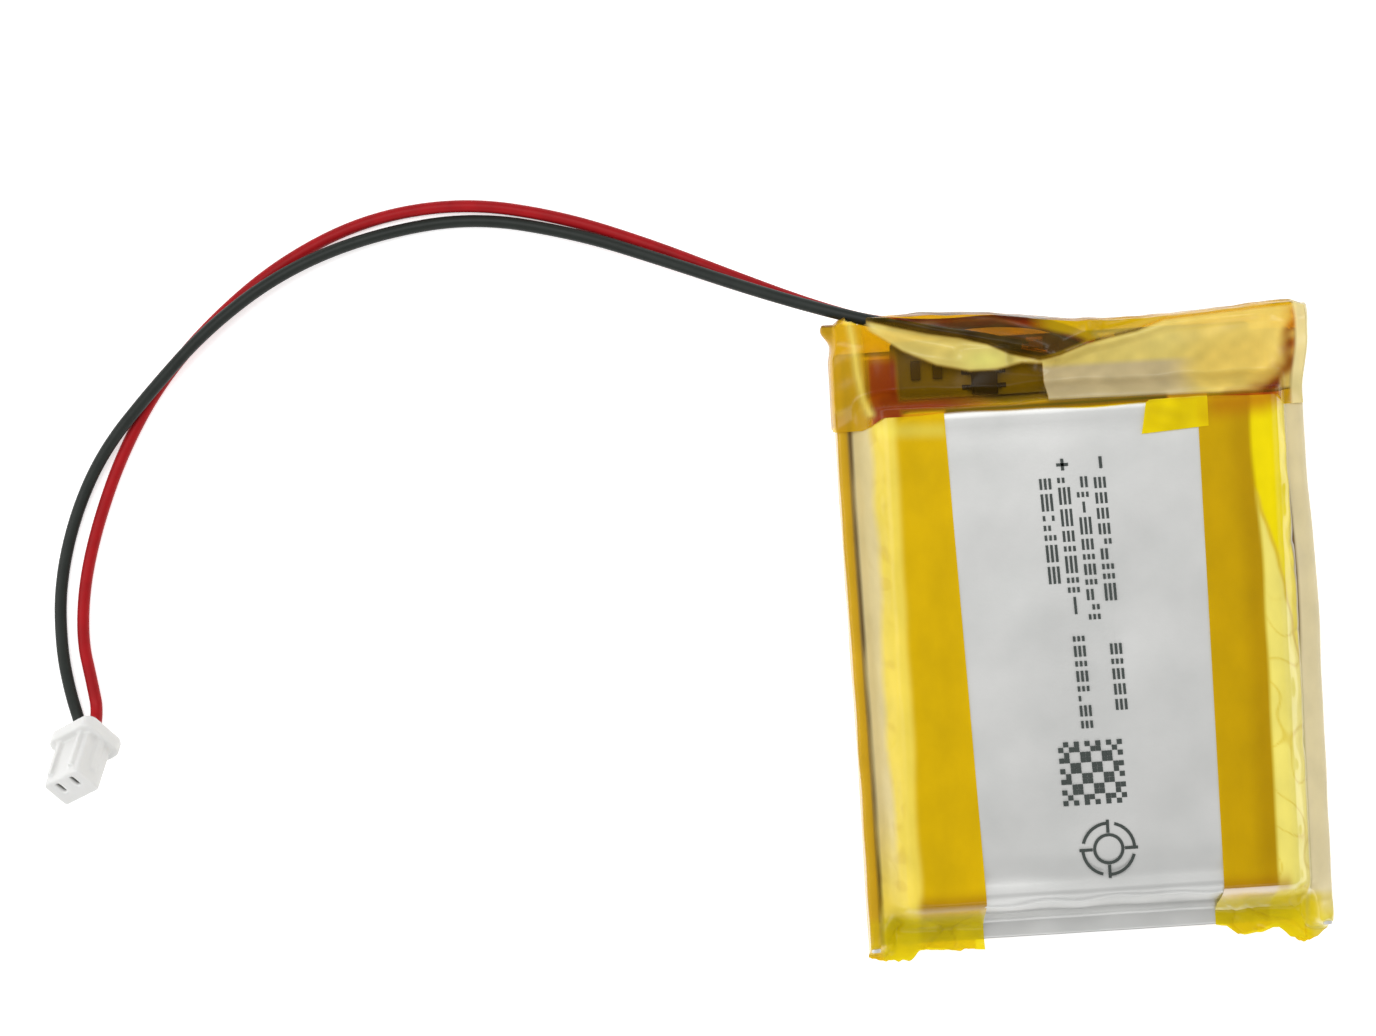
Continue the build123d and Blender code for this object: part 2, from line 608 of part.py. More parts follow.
# ---------------------------------------------------------------- plug housing
PLUG_LENGTH = COLLAR[2] + NOSE[2]
CAVITY_START = LEAD_IN_PLUG + CONTACT_GAP
CAVITY_LENGTH = PLUG_LENGTH - FRONT_WALL - CAVITY_START
CONTACT_PLACES = [(side * PLUG_PITCH / 2, 0) for side in (-1, 1)]
with BuildPart() as plug_housing:
    with BuildSketch(PLUG_PLANE):
        RectangleRounded(COLLAR[0], COLLAR[1], COLLAR_CORNER)
    extrude(amount=COLLAR[2])
    with BuildSketch(PLUG_PLANE):
        RectangleRounded(NOSE[0], NOSE[1], NOSE_CORNER)
    extrude(amount=PLUG_LENGTH)
    with BuildSketch(PLUG_PLANE.offset(COLLAR[2])):
        with Locations(*[(side * KEY_RIB_PITCH / 2, NOSE[1] / 2) for side in (-1, 1)]):
            Rectangle(KEY_RIB[0], 2 * KEY_RIB[1])
    extrude(amount=KEY_RIB[2])
    with BuildSketch(PLUG_PLANE.offset(COLLAR[2])):
        with Locations(*[(side * NOSE[0] / 2, 0) for side in (-1, 1)]):
            Rectangle(2 * END_RIB[0], END_RIB[1])
    extrude(amount=END_RIB[2])
    with BuildSketch(PLUG_PLANE):
        with Locations(*CONTACT_PLACES):
            Circle(LEAD_RADIUS + TOUCH_GAP)
    extrude(amount=CAVITY_START, mode=Mode.SUBTRACT)
    with BuildSketch(PLUG_PLANE.offset(CAVITY_START)):
        with Locations(*[(x, CAVITY_RISE) for x, _ in CONTACT_PLACES]):
            Rectangle(CAVITY[0], CAVITY[1])
    extrude(amount=CAVITY_LENGTH, mode=Mode.SUBTRACT)
    with BuildSketch(PLUG_PLANE.offset(PLUG_LENGTH - FRONT_WALL)):
        with Locations(*[(x, PIN_SLOT_RISE) for x, _ in CONTACT_PLACES]):
            Rectangle(PIN_SLOT[0], PIN_SLOT[1])
    extrude(amount=FRONT_WALL, mode=Mode.SUBTRACT)
plug_housing.part.label = "plug_housing"
export_step(plug_housing.part, "parts/plug_housing.step")

# ---------------------------------------------------------------- tapes
TAPE_REACH_Y = MOUTH_HIGH_Y - TAPE_LAP
EDGE_TAPE_LENGTH = TAPE_REACH_Y - TOUCH_GAP + HALF_LENGTH
for side, name in ((-1, "left_edge_tape"), (1, "right_edge_tape")):
    outer = side * PACK_WIDTH / 2
    bend = side * (MOUTH_X - DRAFT_SIDE)
    fold = side * (SEAL_INNER_X - TOUCH_GAP - TAPE)
    below = side * (MOUTH_X + TAPE_SLACK)
    wall = side * (MOUTH_X - DRAFT_SIDE + TAPE_SLACK)
    edge = side * STRIPE_HALF
    with BuildPart() as edge_tape:
        with BuildSketch(xz_plane(TAPE_REACH_Y - TOUCH_GAP)):
            add(strip_profile(
                [
                    (edge, PACK_THICKNESS),
                    (bend, PACK_THICKNESS),
                    (fold, SEAL_TOP_Z + TOUCH_GAP + TAPE),
                    (outer, SEAL_TOP_Z + TOUCH_GAP + TAPE),
                    (outer, SEAL_Z - FOIL - TOUCH_GAP - TAPE),
                    (below, SEAL_Z - FOIL - TAPE_UNDER_SEAL),
                    (wall, SHOULDER),
                    (bend, 0),
                    (edge, 0),
                ],
                TAPE,
                Side.RIGHT if side > 0 else Side.LEFT,
            ))
        extrude(amount=EDGE_TAPE_LENGTH)
    edge_tape.part.label = name
    export_step(edge_tape.part, f"parts/{name}.step")

with BuildPart() as top_end_tape:
    with BuildSketch(Plane.YZ.offset(-PACK_WIDTH / 2)):
        add(strip_profile(
            [
                (TAPE_REACH_Y, PACK_THICKNESS),
                (MOUTH_HIGH_Y, PACK_THICKNESS),
                (MOUTH_HIGH_Y + DRAPE_RUN, BOARD_TOP + DRAPE_OVER_BOARD[0]),
                (TERRACE_Y + DRAPE_PAST_TERRACE[0], BOARD_TOP + DRAPE_OVER_BOARD[1]),
                (HALF_LENGTH, BOARD_TOP + DRAPE_OVER_BOARD[2]),
                (HALF_LENGTH, SEAL_Z - DRAPE_BELOW_SEAL[0]),
                (TERRACE_Y + DRAPE_PAST_TERRACE[1], SEAL_Z - DRAPE_BELOW_SEAL[1]),
                (MOUTH_HIGH_Y, 0),
                (TAPE_REACH_Y, 0),
            ],
            TAPE,
            Side.RIGHT,
        ))
    extrude(amount=PACK_WIDTH)
    with BuildSketch(Plane.XY.offset(SEAL_Z - EXIT_BELOW_SEAL)):
        with Locations((-PACK_WIDTH / 2, HALF_LENGTH)):
            Rectangle(PACK_WIDTH + 2 * EXIT_X, 2 * EXIT_SIZE[0])
    extrude(amount=EXIT_SIZE[1], mode=Mode.SUBTRACT)
top_end_tape.part.label = "top_end_tape"
export_step(top_end_tape.part, "parts/top_end_tape.step")

with BuildPart() as face_tape_tab:
    with BuildSketch(Plane.XY.offset(FACE_Z)):
        with BuildLine():
            Polyline(
                (TAB_TAPE[0], TAPE_REACH_Y - TOUCH_GAP),
                (STRIPE_HALF - TOUCH_GAP, TAPE_REACH_Y - TOUCH_GAP),
                (STRIPE_HALF - TOUCH_GAP, TAPE_REACH_Y - TAB_TAPE[1]),
                (TAB_TAPE[0] - TAB_TAPE[2], TAPE_REACH_Y - TAB_TAPE[1]),
                close=True,
            )
        make_face()
    extrude(amount=TAPE)
face_tape_tab.part.label = "face_tape_tab"
export_step(face_tape_tab.part, "parts/face_tape_tab.step")
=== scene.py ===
"""Looks of the wrapped lithium-polymer pack, its leads and its plug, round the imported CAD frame.

Lengths in this script are millimetres until they reach Blender, which works in metres. X runs
across the pack, +Y towards its board end and +Z out of its face.
"""

import math

import bmesh
import bpy
import numpy as np
from mathutils import Matrix, Vector


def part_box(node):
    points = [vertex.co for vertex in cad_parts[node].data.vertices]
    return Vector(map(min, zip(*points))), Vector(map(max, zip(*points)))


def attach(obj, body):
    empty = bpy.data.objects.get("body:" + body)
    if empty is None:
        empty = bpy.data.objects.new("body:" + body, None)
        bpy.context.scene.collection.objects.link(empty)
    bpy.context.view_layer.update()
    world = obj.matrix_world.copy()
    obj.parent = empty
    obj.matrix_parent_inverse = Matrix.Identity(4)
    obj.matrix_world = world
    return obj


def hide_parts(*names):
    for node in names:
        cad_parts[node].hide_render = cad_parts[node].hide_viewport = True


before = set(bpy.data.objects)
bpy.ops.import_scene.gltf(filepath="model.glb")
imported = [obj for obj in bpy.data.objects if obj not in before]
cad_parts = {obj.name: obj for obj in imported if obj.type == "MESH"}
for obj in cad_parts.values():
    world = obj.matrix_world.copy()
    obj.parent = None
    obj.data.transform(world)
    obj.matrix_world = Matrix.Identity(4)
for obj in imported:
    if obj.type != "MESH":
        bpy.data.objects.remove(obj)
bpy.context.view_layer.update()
MM = 0.001
BODY = "root"
scene = bpy.context.scene


# ---------------------------------------------------------------- sizes read from the frame
def node_box(node):
    """Lowest and highest corner of a CAD node, in millimetres."""
    low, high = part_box(node)
    return np.array(low) / MM, np.array(high) / MM


pouch_low, pouch_high = node_box("front_pouch_half")
SEAL_Z = pouch_low[2]
FACE_Z = pouch_high[2]
FOLD_Y = pouch_low[1]
TERRACE_Y = pouch_high[1]
SEAL_TOP = node_box("back_pouch_half")[1][2]
STRIPE_X = node_box("right_edge_tape")[0][0]
THICKNESS = node_box("top_end_tape")[1][2]
BOARD_Y = node_box("circuit_board")[0][1]

# the cup, as the CAD draws it
MOUTH_X = 13.58
MOUTH_LOW_Y = FOLD_Y + 1.5
MOUTH_HIGH_Y = BOARD_Y - 0.1
DRAFT_SIDE = 1.0
DRAFT_LOW = 1.3
DRAFT_HIGH = 0.2
SHOULDER = 0.95           # radius where the cup's walls meet its face
CUP_CORNER = 1.1
FLARE = 0.35              # how far the wall runs out into the rim
RIM_X = 14.75
RIM_GAP = 0.15            # from the seam's middle to each rim

# the film and the folded edges
EDGE_X = 15.0             # nominal outside of a wrapped long edge
EDGE_TAPE_END = 14.9      # board end of the edge tapes
LAP_Y = 14.78             # edge of the end tape on the face
FILM_LIFT = 0.02          # film that lies on something stays this far off zero


# ---------------------------------------------------------------- camera
def add_camera():
    """Looks almost straight down, from a little left of and behind the pack."""
    place = Vector((-29.5, 29.5, 263.0))
    lean_x = math.radians(1.0)
    lean_y = math.radians(4.6)
    roll = math.radians(3.45)
    back = Vector((-math.sin(lean_x), math.sin(lean_y), 1.0)).normalized()
    right = Vector((math.sin(roll), math.cos(roll), 0)).cross(back).normalized()
    up = back.cross(right)
    turn = Matrix((right, up, back)).transposed().to_4x4()
    camera = bpy.data.objects.new("camera", bpy.data.cameras.new("camera"))
    camera.matrix_world = Matrix.Translation(place * MM) @ turn
    camera.data.lens = 105.4
    camera.data.sensor_width = 36.0
    camera.data.clip_start = 0.01
    scene.collection.objects.link(camera)
    scene.camera = camera


add_camera()


# ---------------------------------------------------------------- material helpers
def new_material(name):
    """Empty node material and its output."""
    material = bpy.data.materials.new(name)
    material.use_nodes = True
    tree = material.node_tree
    tree.nodes.clear()
    output = tree.nodes.new("ShaderNodeOutputMaterial")
    return material, tree, output


def principled(tree, colour, roughness, metallic=0.0, **sockets):
    """Principled shader with its plain values set on its own sockets."""
    shader = tree.nodes.new("ShaderNodeBsdfPrincipled")
    shader.inputs["Base Color"].default_value = (*colour, 1)
    shader.inputs["Roughness"].default_value = roughness
    shader.inputs["Metallic"].default_value = metallic
    for socket, value in sockets.items():
        shader.inputs[socket.replace("_", " ")].default_value = value
    return shader


def noise_field(tree, scale, detail=3.0, stretch=(1, 1, 1), roughness=0.5):
    """Noise in object space; scale is in features per metre along an unstretched axis."""
    place = tree.nodes.new("ShaderNodeTexCoord")
    mapping = tree.nodes.new("ShaderNodeMapping")
    mapping.inputs["Scale"].default_value = stretch
    field = tree.nodes.new("ShaderNodeTexNoise")
    field.inputs["Scale"].default_value = scale
    field.inputs["Detail"].default_value = detail
    field.inputs["Roughness"].default_value = roughness
    tree.links.new(place.outputs["Object"], mapping.inputs["Vector"])
    tree.links.new(mapping.outputs["Vector"], field.inputs["Vector"])
    return field.outputs["Fac"]


def ramp(tree, value, stops):
    """Colour ramp over a value; stops are (position, colour)."""
    node = tree.nodes.new("ShaderNodeValToRGB")
    elements = node.color_ramp.elements
    while len(elements) < len(stops):
        elements.new(0.5)
    for element, (position, colour) in zip(elements, stops):
        element.position = position
        element.color = (*colour, 1)
    tree.links.new(value, node.inputs["Fac"])
    return node.outputs["Color"]


MIX_FIRST, MIX_SECOND, MIX_RESULT = 6, 7, 2   # colour sockets of the mix node


def colour_mix(tree, first, blend_type="MIX"):
    """Colour mix node with its first colour linked."""
    node = tree.nodes.new("ShaderNodeMix")
    node.data_type = "RGBA"
    node.blend_type = blend_type
    tree.links.new(first, node.inputs[MIX_FIRST])
    return node


def painted(tree, key):
    """Value painted on the mesh by vertex."""
    node = tree.nodes.new("ShaderNodeAttribute")
    node.attribute_name = key
    return node


def bump(tree, shader, value, distance, strength=1.0, below=None):
    """Adds a bump to a shader; distance is the height of the relief in metres."""
    node = tree.nodes.new("ShaderNodeBump")
    node.inputs["Strength"].default_value = strength
    node.inputs["Distance"].default_value = distance
    tree.links.new(value, node.inputs["Height"])
    if below is not None:
        tree.links.new(below, node.inputs["Normal"])
    tree.links.new(node.outputs["Normal"], shader.inputs["Normal"])
    return node.outputs["Normal"]


def grey(value):
    """A neutral colour."""
    return (value, value, value)


# ---------------------------------------------------------------- materials
def foil_material():
    """Matt aluminium laminate: fine emboss, slow waves, a faint cloudiness and painted shade in its
    creases.
    """
    material, tree, output = new_material("pouch_foil")
    shader = principled(tree, (0.74, 0.74, 0.725), 0.46, metallic=0.5)
    cloud = noise_field(tree, 260, 4)
    tint = ramp(tree, cloud, [(0.3, (0.61, 0.615, 0.60)), (0.7, (0.68, 0.68, 0.665))])
    # the painted crease value darkens the foil's colour: painted shade in its creases
    crease_shade_mix = colour_mix(tree, tint)
    crease_shade_mix.inputs[MIX_SECOND].default_value = (*grey(0.16), 1)
    tree.links.new(painted(tree, "crease").outputs["Fac"], crease_shade_mix.inputs["Factor"])
    tree.links.new(crease_shade_mix.outputs[MIX_RESULT], shader.inputs["Base Color"])
    waves = bump(tree, shader, noise_field(tree, 180, 2, (1, 0.45, 1)), 0.00008, 0.5)
    bump(tree, shader, noise_field(tree, 5200, 2), 0.000006, 0.6, below=waves)
    tree.links.new(shader.outputs[0], output.inputs["Surface"])
    return material


def plain_material(name, colour, roughness, metallic=0.0, grain=1500, relief=0.00001,
                   shift=0.12, **sockets):
    """Moulded or plated surface with a little tone variation and a fine grain."""
    material, tree, output = new_material(name)
    shader = principled(tree, colour, roughness, metallic, **sockets)
    dark = tuple(c * (1 - shift) for c in colour)
    light = tuple(min(1, c * (1 + shift)) for c in colour)
    tint = ramp(tree, noise_field(tree, grain / 3, 3), [(0.3, dark), (0.7, light)])
    tree.links.new(tint, shader.inputs["Base Color"])
    bump(tree, shader, noise_field(tree, grain, 2), relief, 0.5)
    tree.links.new(shader.outputs[0], output.inputs["Surface"])
    return material


foil = foil_material()
red_skin = plain_material("red_insulation", (0.34, 0.006, 0.009), 0.5, grain=2500,
                          relief=0.000008, IOR=1.25)
black_skin = plain_material("black_insulation", (0.018, 0.022, 0.019), 0.5, grain=2500,
                            relief=0.000008, IOR=1.3)
nylon = plain_material("plug_nylon", (0.70, 0.70, 0.685), 0.45, grain=1200, shift=0.03,
                       Subsurface_Weight=0.25, Subsurface_Scale=0.0006,
                       Subsurface_Radius=(1, 0.96, 0.9))
board_green = plain_material("circuit_board", (0.17, 0.19, 0.06), 0.35)
chip_black = plain_material("chip_body", (0.008, 0.008, 0.009), 0.6, IOR=1.2)
nickel = plain_material("nickel", (0.62, 0.60, 0.56), 0.3, 1.0)
tin = plain_material("solder", (0.72, 0.72, 0.72), 0.22, 1.0)
contact_metal = plain_material("contact_metal", (0.66, 0.60, 0.46), 0.28, 1.0)
paper = plain_material("insulating_paper", (0.46, 0.52, 0.30), 0.8)
resistor_glaze = plain_material("resistor", (0.03, 0.03, 0.035), 0.3)
capacitor_tan = plain_material("capacitor", (0.30, 0.17, 0.09), 0.4)
film_white = plain_material("tab_film", (0.75, 0.73, 0.64), 0.5)
cathode_black = plain_material("cathode", (0.05, 0.05, 0.055), 0.85)
anode_black = plain_material("anode", (0.025, 0.025, 0.03), 0.9)
separator_white = plain_material("separator", (0.85, 0.85, 0.83), 0.6)
inner_green = plain_material("inner_tape", (0.05, 0.22, 0.08), 0.35)
aluminium = plain_material("aluminium_tab", (0.76, 0.76, 0.77), 0.3, 1.0)

NODE_FINISH = {
    "plug_housing": nylon,
    "circuit_board": board_green,
    "protection_chip": chip_black,
    "switch_transistor": chip_black,
    "positive_weld_pad": nickel,
    "negative_weld_pad": nickel,
    "negative_tab": nickel,
    "positive_tab": aluminium,
    "red_lead_end": tin,
    "black_lead_end": tin,
    "red_solder_joint": tin,
    "black_solder_joint": tin,
    "red_crimp_contact": contact_metal,
    "black_crimp_contact": contact_metal,
    "insulating_paper": paper,
    "sense_resistor": resistor_glaze,
    "supply_resistor": resistor_glaze,
    "filter_capacitor": capacitor_tan,
    "positive_tab_film": film_white,
    "negative_tab_film": film_white,
    "cathode_winding": cathode_black,
    "anode_winding": anode_black,
    "separator_winding": separator_white,
    "winding_end_tape": inner_green,
}
for node, finish in NODE_FINISH.items():
    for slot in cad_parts[node].material_slots:
        slot.material = finish


# ---------------------------------------------------------------- leads
PLUG_REAR = Vector((-64.9, -3.4, 1.51))
PLUG_ROW = Vector((0.786, 0.3776, 0.4895)).normalized()        # from one contact to the other
PLUG_NOSE = Vector((-0.1807, -0.6169, 0.766)).normalized()     # the way the plug points
PLUG_PITCH = 1.25
LEAD_DIAMETER = 0.8
FLOOR_Z = 0.42            # middle of a lead that lies on the floor
LEAD_Z = 6.85             # middle of a lead on its pad


def plug_point(side, depth):
    """Point on a contact's axis in the plug; depth runs from its rear face towards its nose."""
    return tuple(PLUG_REAR + PLUG_ROW * (side * PLUG_PITCH / 2) + PLUG_NOSE * depth)


BLACK_ROUTE = [
    (-3.2, 18.6, LEAD_Z),
    (-5.8, 19.3, LEAD_Z),
    (-8.9, 19.9, 6.75),
    (-12.5, 20.7, 6.4),
    (-16.4, 21.9, 5.7),
    (-20.6, 23.4, 4.2),
    (-25.4, 25.3, 2.2),
    (-31.0, 27.4, 0.8),
    (-37.7, 28.9, FLOOR_Z),
    (-44.4, 28.1, 0.75),
    (-50.2, 26.1, 1.4),
    (-55.2, 22.8, 1.45),
    (-59.2, 18.9, 1.35),
    (-62.6, 15.2, 0.8),
    (-64.8, 11.1, FLOOR_Z),
    (-66.1, 6.6, FLOOR_Z),
    (-66.3, 2.4, FLOOR_Z),
    (-65.9, -0.7, FLOOR_Z),
    plug_point(-1, -0.78),
    plug_point(-1, 0.9),
]
RED_ROUTE = [
    (1.4, 18.6, LEAD_Z),
    (-1.0, 19.85, LEAD_Z),
    (-4.4, 20.35, 6.0),
    (-8.4, 20.15, 5.3),
    (-12.4, 20.6, 5.1),
    (-16.3, 21.95, 4.3),
    (-20.9, 23.95, 2.8),
    (-26.2, 26.35, 1.1),
    (-32.0, 28.56, FLOOR_Z),
    (-38.2, 29.85, FLOOR_Z),
    (-44.6, 29.2, FLOOR_Z),
    (-50.4, 26.65, FLOOR_Z),
    (-55.2, 23.0, FLOOR_Z),
    (-58.8, 19.2, FLOOR_Z),
    (-61.4, 15.0, FLOOR_Z),
    (-63.3, 10.6, FLOOR_Z),
    (-64.5, 6.6, FLOOR_Z),
    (-64.9, 2.9, FLOOR_Z),
    (-64.5, 0.3, FLOOR_Z),
    plug_point(1, -1.5),
    plug_point(1, 0.9),
]


def add_lead(name, route, material):
    """One insulated lead as a smooth curve of its real length."""
    curve = bpy.data.curves.new(name, "CURVE")
    curve.dimensions = "3D"
    curve.bevel_depth = LEAD_DIAMETER / 2 * MM
    curve.bevel_resolution = 6
    curve.resolution_u = 16
    curve.use_fill_caps = True
    spline = curve.splines.new("NURBS")
    spline.points.add(len(route) - 1)
    for point, place in zip(spline.points, route):
        point.co = (*(c * MM for c in place), 1)
    spline.order_u = 3
    spline.use_endpoint_u = True
    lead = bpy.data.objects.new(name, curve)
    scene.collection.objects.link(lead)
    lead.data.materials.append(material)
    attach(lead, BODY)
    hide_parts(name.replace("_cord", "_lead"))


add_lead("black_cord", BLACK_ROUTE, black_skin)
add_lead("red_cord", RED_ROUTE, red_skin)


# ---------------------------------------------------------------- mesh helpers
def smoothstep(low, high, value):
    """Eased step from 0 at low to 1 at high."""
    t = np.clip((value - low) / (high - low), 0, 1)
    return t * t * (3 - 2 * t)


def waves(x, y, length, seed, count=14):
    """Seeded smooth noise of about unit size, with the given typical wave length."""
    random = np.random.default_rng(seed)
    total = 0
    for _ in range(count):
        heading = random.uniform(0, 2 * math.pi)
        number = 2 * math.pi / (length * random.uniform(0.6, 1.9))
        phase = random.uniform(0, 2 * math.pi)
        total = total + np.sin(number * (x * math.cos(heading) + y * math.sin(heading)) + phase)
    return total / math.sqrt(count)


def linear(colour):
    """Linear light of an 8-bit display colour."""
    share = np.array(colour, float) / 255
    return np.where(share <= 0.04045, share / 12.92, ((share + 0.055) / 1.055) ** 2.4)


def near_path(x, y, path, width):
    """1 on a polyline, easing to 0 at width from it."""
    nearest = np.full(np.shape(x), 1e9)
    for (ax, ay), (bx, by) in zip(path, path[1:]):
        dx, dy = bx - ax, by - ay
        t = np.clip(((x - ax) * dx + (y - ay) * dy) / (dx * dx + dy * dy), 0, 1)
        nearest = np.minimum(nearest, np.hypot(x - ax - t * dx, y - ay - t * dy))
    return 1 - smoothstep(0, width, nearest)


def blend(below, colour, mask):
    """Lays a display colour over an array of linear colours where mask is 1."""
    return below * (1 - mask[..., None]) + linear(colour) * mask[..., None]


def sheet_object(name, places, material, nodes=(), loop=False, paint=None):
    """Smooth quad mesh from a grid of places in millimetres, with painted values by vertex."""
    rows, columns = places.shape[:2]
    mesh = bpy.data.meshes.new(name)
    faces = []
    for r in range(rows - 1):
        for c in range(columns if loop else columns - 1):
            d = (c + 1) % columns
            low, high = r * columns, (r + 1) * columns
            faces.append((low + c, low + d, high + d, high + c))
    mesh.from_pydata((places.reshape(-1, 3) * MM).tolist(), [], faces)
    for key, values in (paint or {}).items():
        if values.ndim == 2:
            layer = mesh.attributes.new(key, "FLOAT", "POINT")
            layer.data.foreach_set("value", values.reshape(-1).astype(np.float32))
        else:
            layer = mesh.attributes.new(key, "FLOAT_COLOR", "POINT")
            rgba = np.concatenate([values, np.ones(values.shape[:2] + (1,))], axis=2)
            layer.data.foreach_set("color", rgba.reshape(-1).astype(np.float32))
    mesh.polygons.foreach_set("use_smooth", [True] * len(mesh.polygons))
    mesh.materials.append(material)
    thing = bpy.data.objects.new(name, mesh)
    scene.collection.objects.link(thing)
    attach(thing, BODY)
    if nodes:
        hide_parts(*nodes)
    return thing


def bell(value, middle, width):
    """1 at middle, falling away on both sides over width."""
    return np.exp(-((value - middle) / width) ** 2)


def folds_at(value, sharpness):
    """1 where value crosses zero, down to 0 at 1 / sharpness."""
    return np.maximum(0, 1 - sharpness * np.abs(value))


def bow(side, y):
    """How far a long edge of the pack strays outwards from the nominal side at y."""
    if side > 0:
        return -0.12 - 0.4 * smoothstep(2, 11, y)
    return 0.25 * smoothstep(-14, 12, y)


# ---------------------------------------------------------------- pouch
ARC_STEPS = 10
SIDE_STEPS = 44


def outline_ring(half, low, high, corner, z):
    """Points round a rounded rectangle at height z, the same number on every ring."""
    turns = [(half - corner, high - corner), (corner - half, high - corner),
             (corner - half, low + corner), (half - corner, low + corner)]
    ring = []
    for k, (cx, cy) in enumerate(turns):
        for step in range(ARC_STEPS + 1):
            angle = math.radians(90 * (k + step / ARC_STEPS))
            ring.append((cx + corner * math.cos(angle), cy + corner * math.sin(angle)))
        angle = math.radians(90 * (k + 1))
        nx, ny = turns[(k + 1) % 4]
        first = ring[-1]
        last = (nx + corner * math.cos(angle), ny + corner * math.sin(angle))
        for step in range(1, SIDE_STEPS):
            t = step / SIDE_STEPS
            ring.append((first[0] + (last[0] - first[0]) * t, first[1] + (last[1] - first[1]) * t))
    return [(x, y, z) for x, y in ring]


def pouch_half(facing):
    """Grid of one drawn cup and its flat rim, from the middle of the face outwards."""
    depth = FACE_Z - SEAL_Z
    half = MOUTH_X - DRAFT_SIDE - SHOULDER
    low = MOUTH_LOW_Y + DRAFT_LOW + SHOULDER
    high = MOUTH_HIGH_Y - DRAFT_HIGH - SHOULDER
    rings = []
    for inset in np.linspace(10.2, 0.0, 22):
        corner = max(0.1, CUP_CORNER - inset)
        rings.append(outline_ring(half - inset, low + inset, high - inset, corner, depth))
    for step in range(1, 9):
        angle = math.radians(84 * step / 8)
        out = SHOULDER * math.sin(angle)
        drop = SHOULDER * (1 - math.cos(angle))
        rings.append(outline_ring(half + out, low - out, high + out, CUP_CORNER + out,
                                  depth - drop))
    for step in range(1, 13):
        t = step / 12
        flare = FLARE * smoothstep(0.8, 1.0, t)
        rings.append(outline_ring(MOUTH_X - DRAFT_SIDE * (1 - t) + flare,
                                  MOUTH_LOW_Y + DRAFT_LOW * (1 - t) - flare,
                                  MOUTH_HIGH_Y - DRAFT_HIGH * (1 - t) + 0.3 * flare,
                                  2.05 + 0.5 * t,
                                  (depth - SHOULDER + 0.1) * (1 - t) + RIM_GAP * t))
    for step in range(1, 7):
        t = step / 6
        rings.append(outline_ring(MOUTH_X + FLARE + (RIM_X - MOUTH_X - FLARE) * t,
                                  MOUTH_LOW_Y - FLARE + (FOLD_Y - MOUTH_LOW_Y + FLARE) * t,
                                  MOUTH_HIGH_Y + 0.1 + (TERRACE_Y - MOUTH_HIGH_Y - 0.1) * t,
                                  2.55 - 2.4 * t, RIM_GAP))
    # the two rims meet at their edge
    rings.append([(x, y, 0.0) for x, y, z in rings[-1]])
    places = np.array(rings)
    x, y, z = places[..., 0], places[..., 1], places[..., 2]
    raised = smoothstep(0.5, 2.0, z)
    flat = smoothstep(depth - 0.4, depth - 0.02, z)
    # slow waves of the soft foil, a shallow sag near the folded end, and a wavy lip
    lift = 0.035 * waves(x, y, 9, 3) * flat
    lift = lift - 0.16 * bell(y + 0.25 * waves(x, 0 * x, 12, 5), -15.1, 0.75) * flat
    lift = lift - 0.05 * bell(y, 13.6, 1.0) * flat
    z = z + lift + 0.03 * waves(x, y, 3, 8) * (1 - raised) * (z > 0.01)
    sway = 0.10 * waves(x, y, 5, 11) * (1 - flat) * raised
    y = y + sway * (np.abs(x) < 11)
    rim = smoothstep(13.3, 14.2, np.abs(x))
    x = x + rim * np.where(x > 0, bow(1, y), -bow(-1, y))
    z = SEAL_Z + facing * z
    return np.stack([x, y, z], axis=2)


def fold_creases(places):
    """Painted shade in the foil's creases near the folded end: one sharp, one broad and soft."""
    x, y = places[..., 0], places[..., 1]
    sharp = 0.42 * bell(y + 0.02 * x + 0.05 * waves(x, 0 * x, 6, 9), -17.87, 0.2)
    broad = 0.26 * bell(y, -16.6, 0.45) * (0.35 + 0.65 * bell(x, 1.5, 4))
    return {"crease": np.clip(sharp + broad, 0, 1)}


def close_centre(thing):
    """Fills the slot that the innermost ring leaves."""
    shape = bmesh.new()
    shape.from_mesh(thing.data)
    count = 4 * (ARC_STEPS + SIDE_STEPS)
    shape.verts.ensure_lookup_table()
    shape.faces.new(shape.verts[:count])
    bmesh.ops.recalc_face_normals(shape, faces=shape.faces[:])
    shape.to_mesh(thing.data)
    shape.free()
    thing.data.polygons.foreach_set("use_smooth", [True] * len(thing.data.polygons))


places = pouch_half(1)
close_centre(sheet_object("pouch_front", places, foil, ["front_pouch_half"],
                          loop=True, paint=fold_creases(places)))
close_centre(sheet_object("pouch_back", pouch_half(-1), foil, ["back_pouch_half"],
                          loop=True))


def side_seal(side):
    """Folded edge of the two laminates, standing up beside the cup and a little uneven."""
    inner, outer = 14.34, 14.9
    top = SEAL_TOP - 0.16
    bevel = 0.1
    section = [(outer, SEAL_Z - 0.15), (outer, top - 0.15), (outer - bevel, top),
               (inner + bevel, top), (inner, top - 0.15), (inner, SEAL_Z + 0.3)]
    rows = []
    for y in np.linspace(FOLD_Y, TERRACE_Y, 130):
        lean = 0.03 * waves(y, 0.0, 7, 21 + side)
        rise = 0.03 * waves(y, 0.0, 5, 31 + side)
        out = bow(side, y)
        rows.append([(side * (x + out + lean * (z - SEAL_Z) / SEAL_Z), y,
                      z + rise * (z > SEAL_Z + 1)) for x, z in section])
    return np.array(rows)


for side, name in ((-1, "left"), (1, "right")):
    sheet_object(f"{name}_side_seal", side_seal(side), foil)


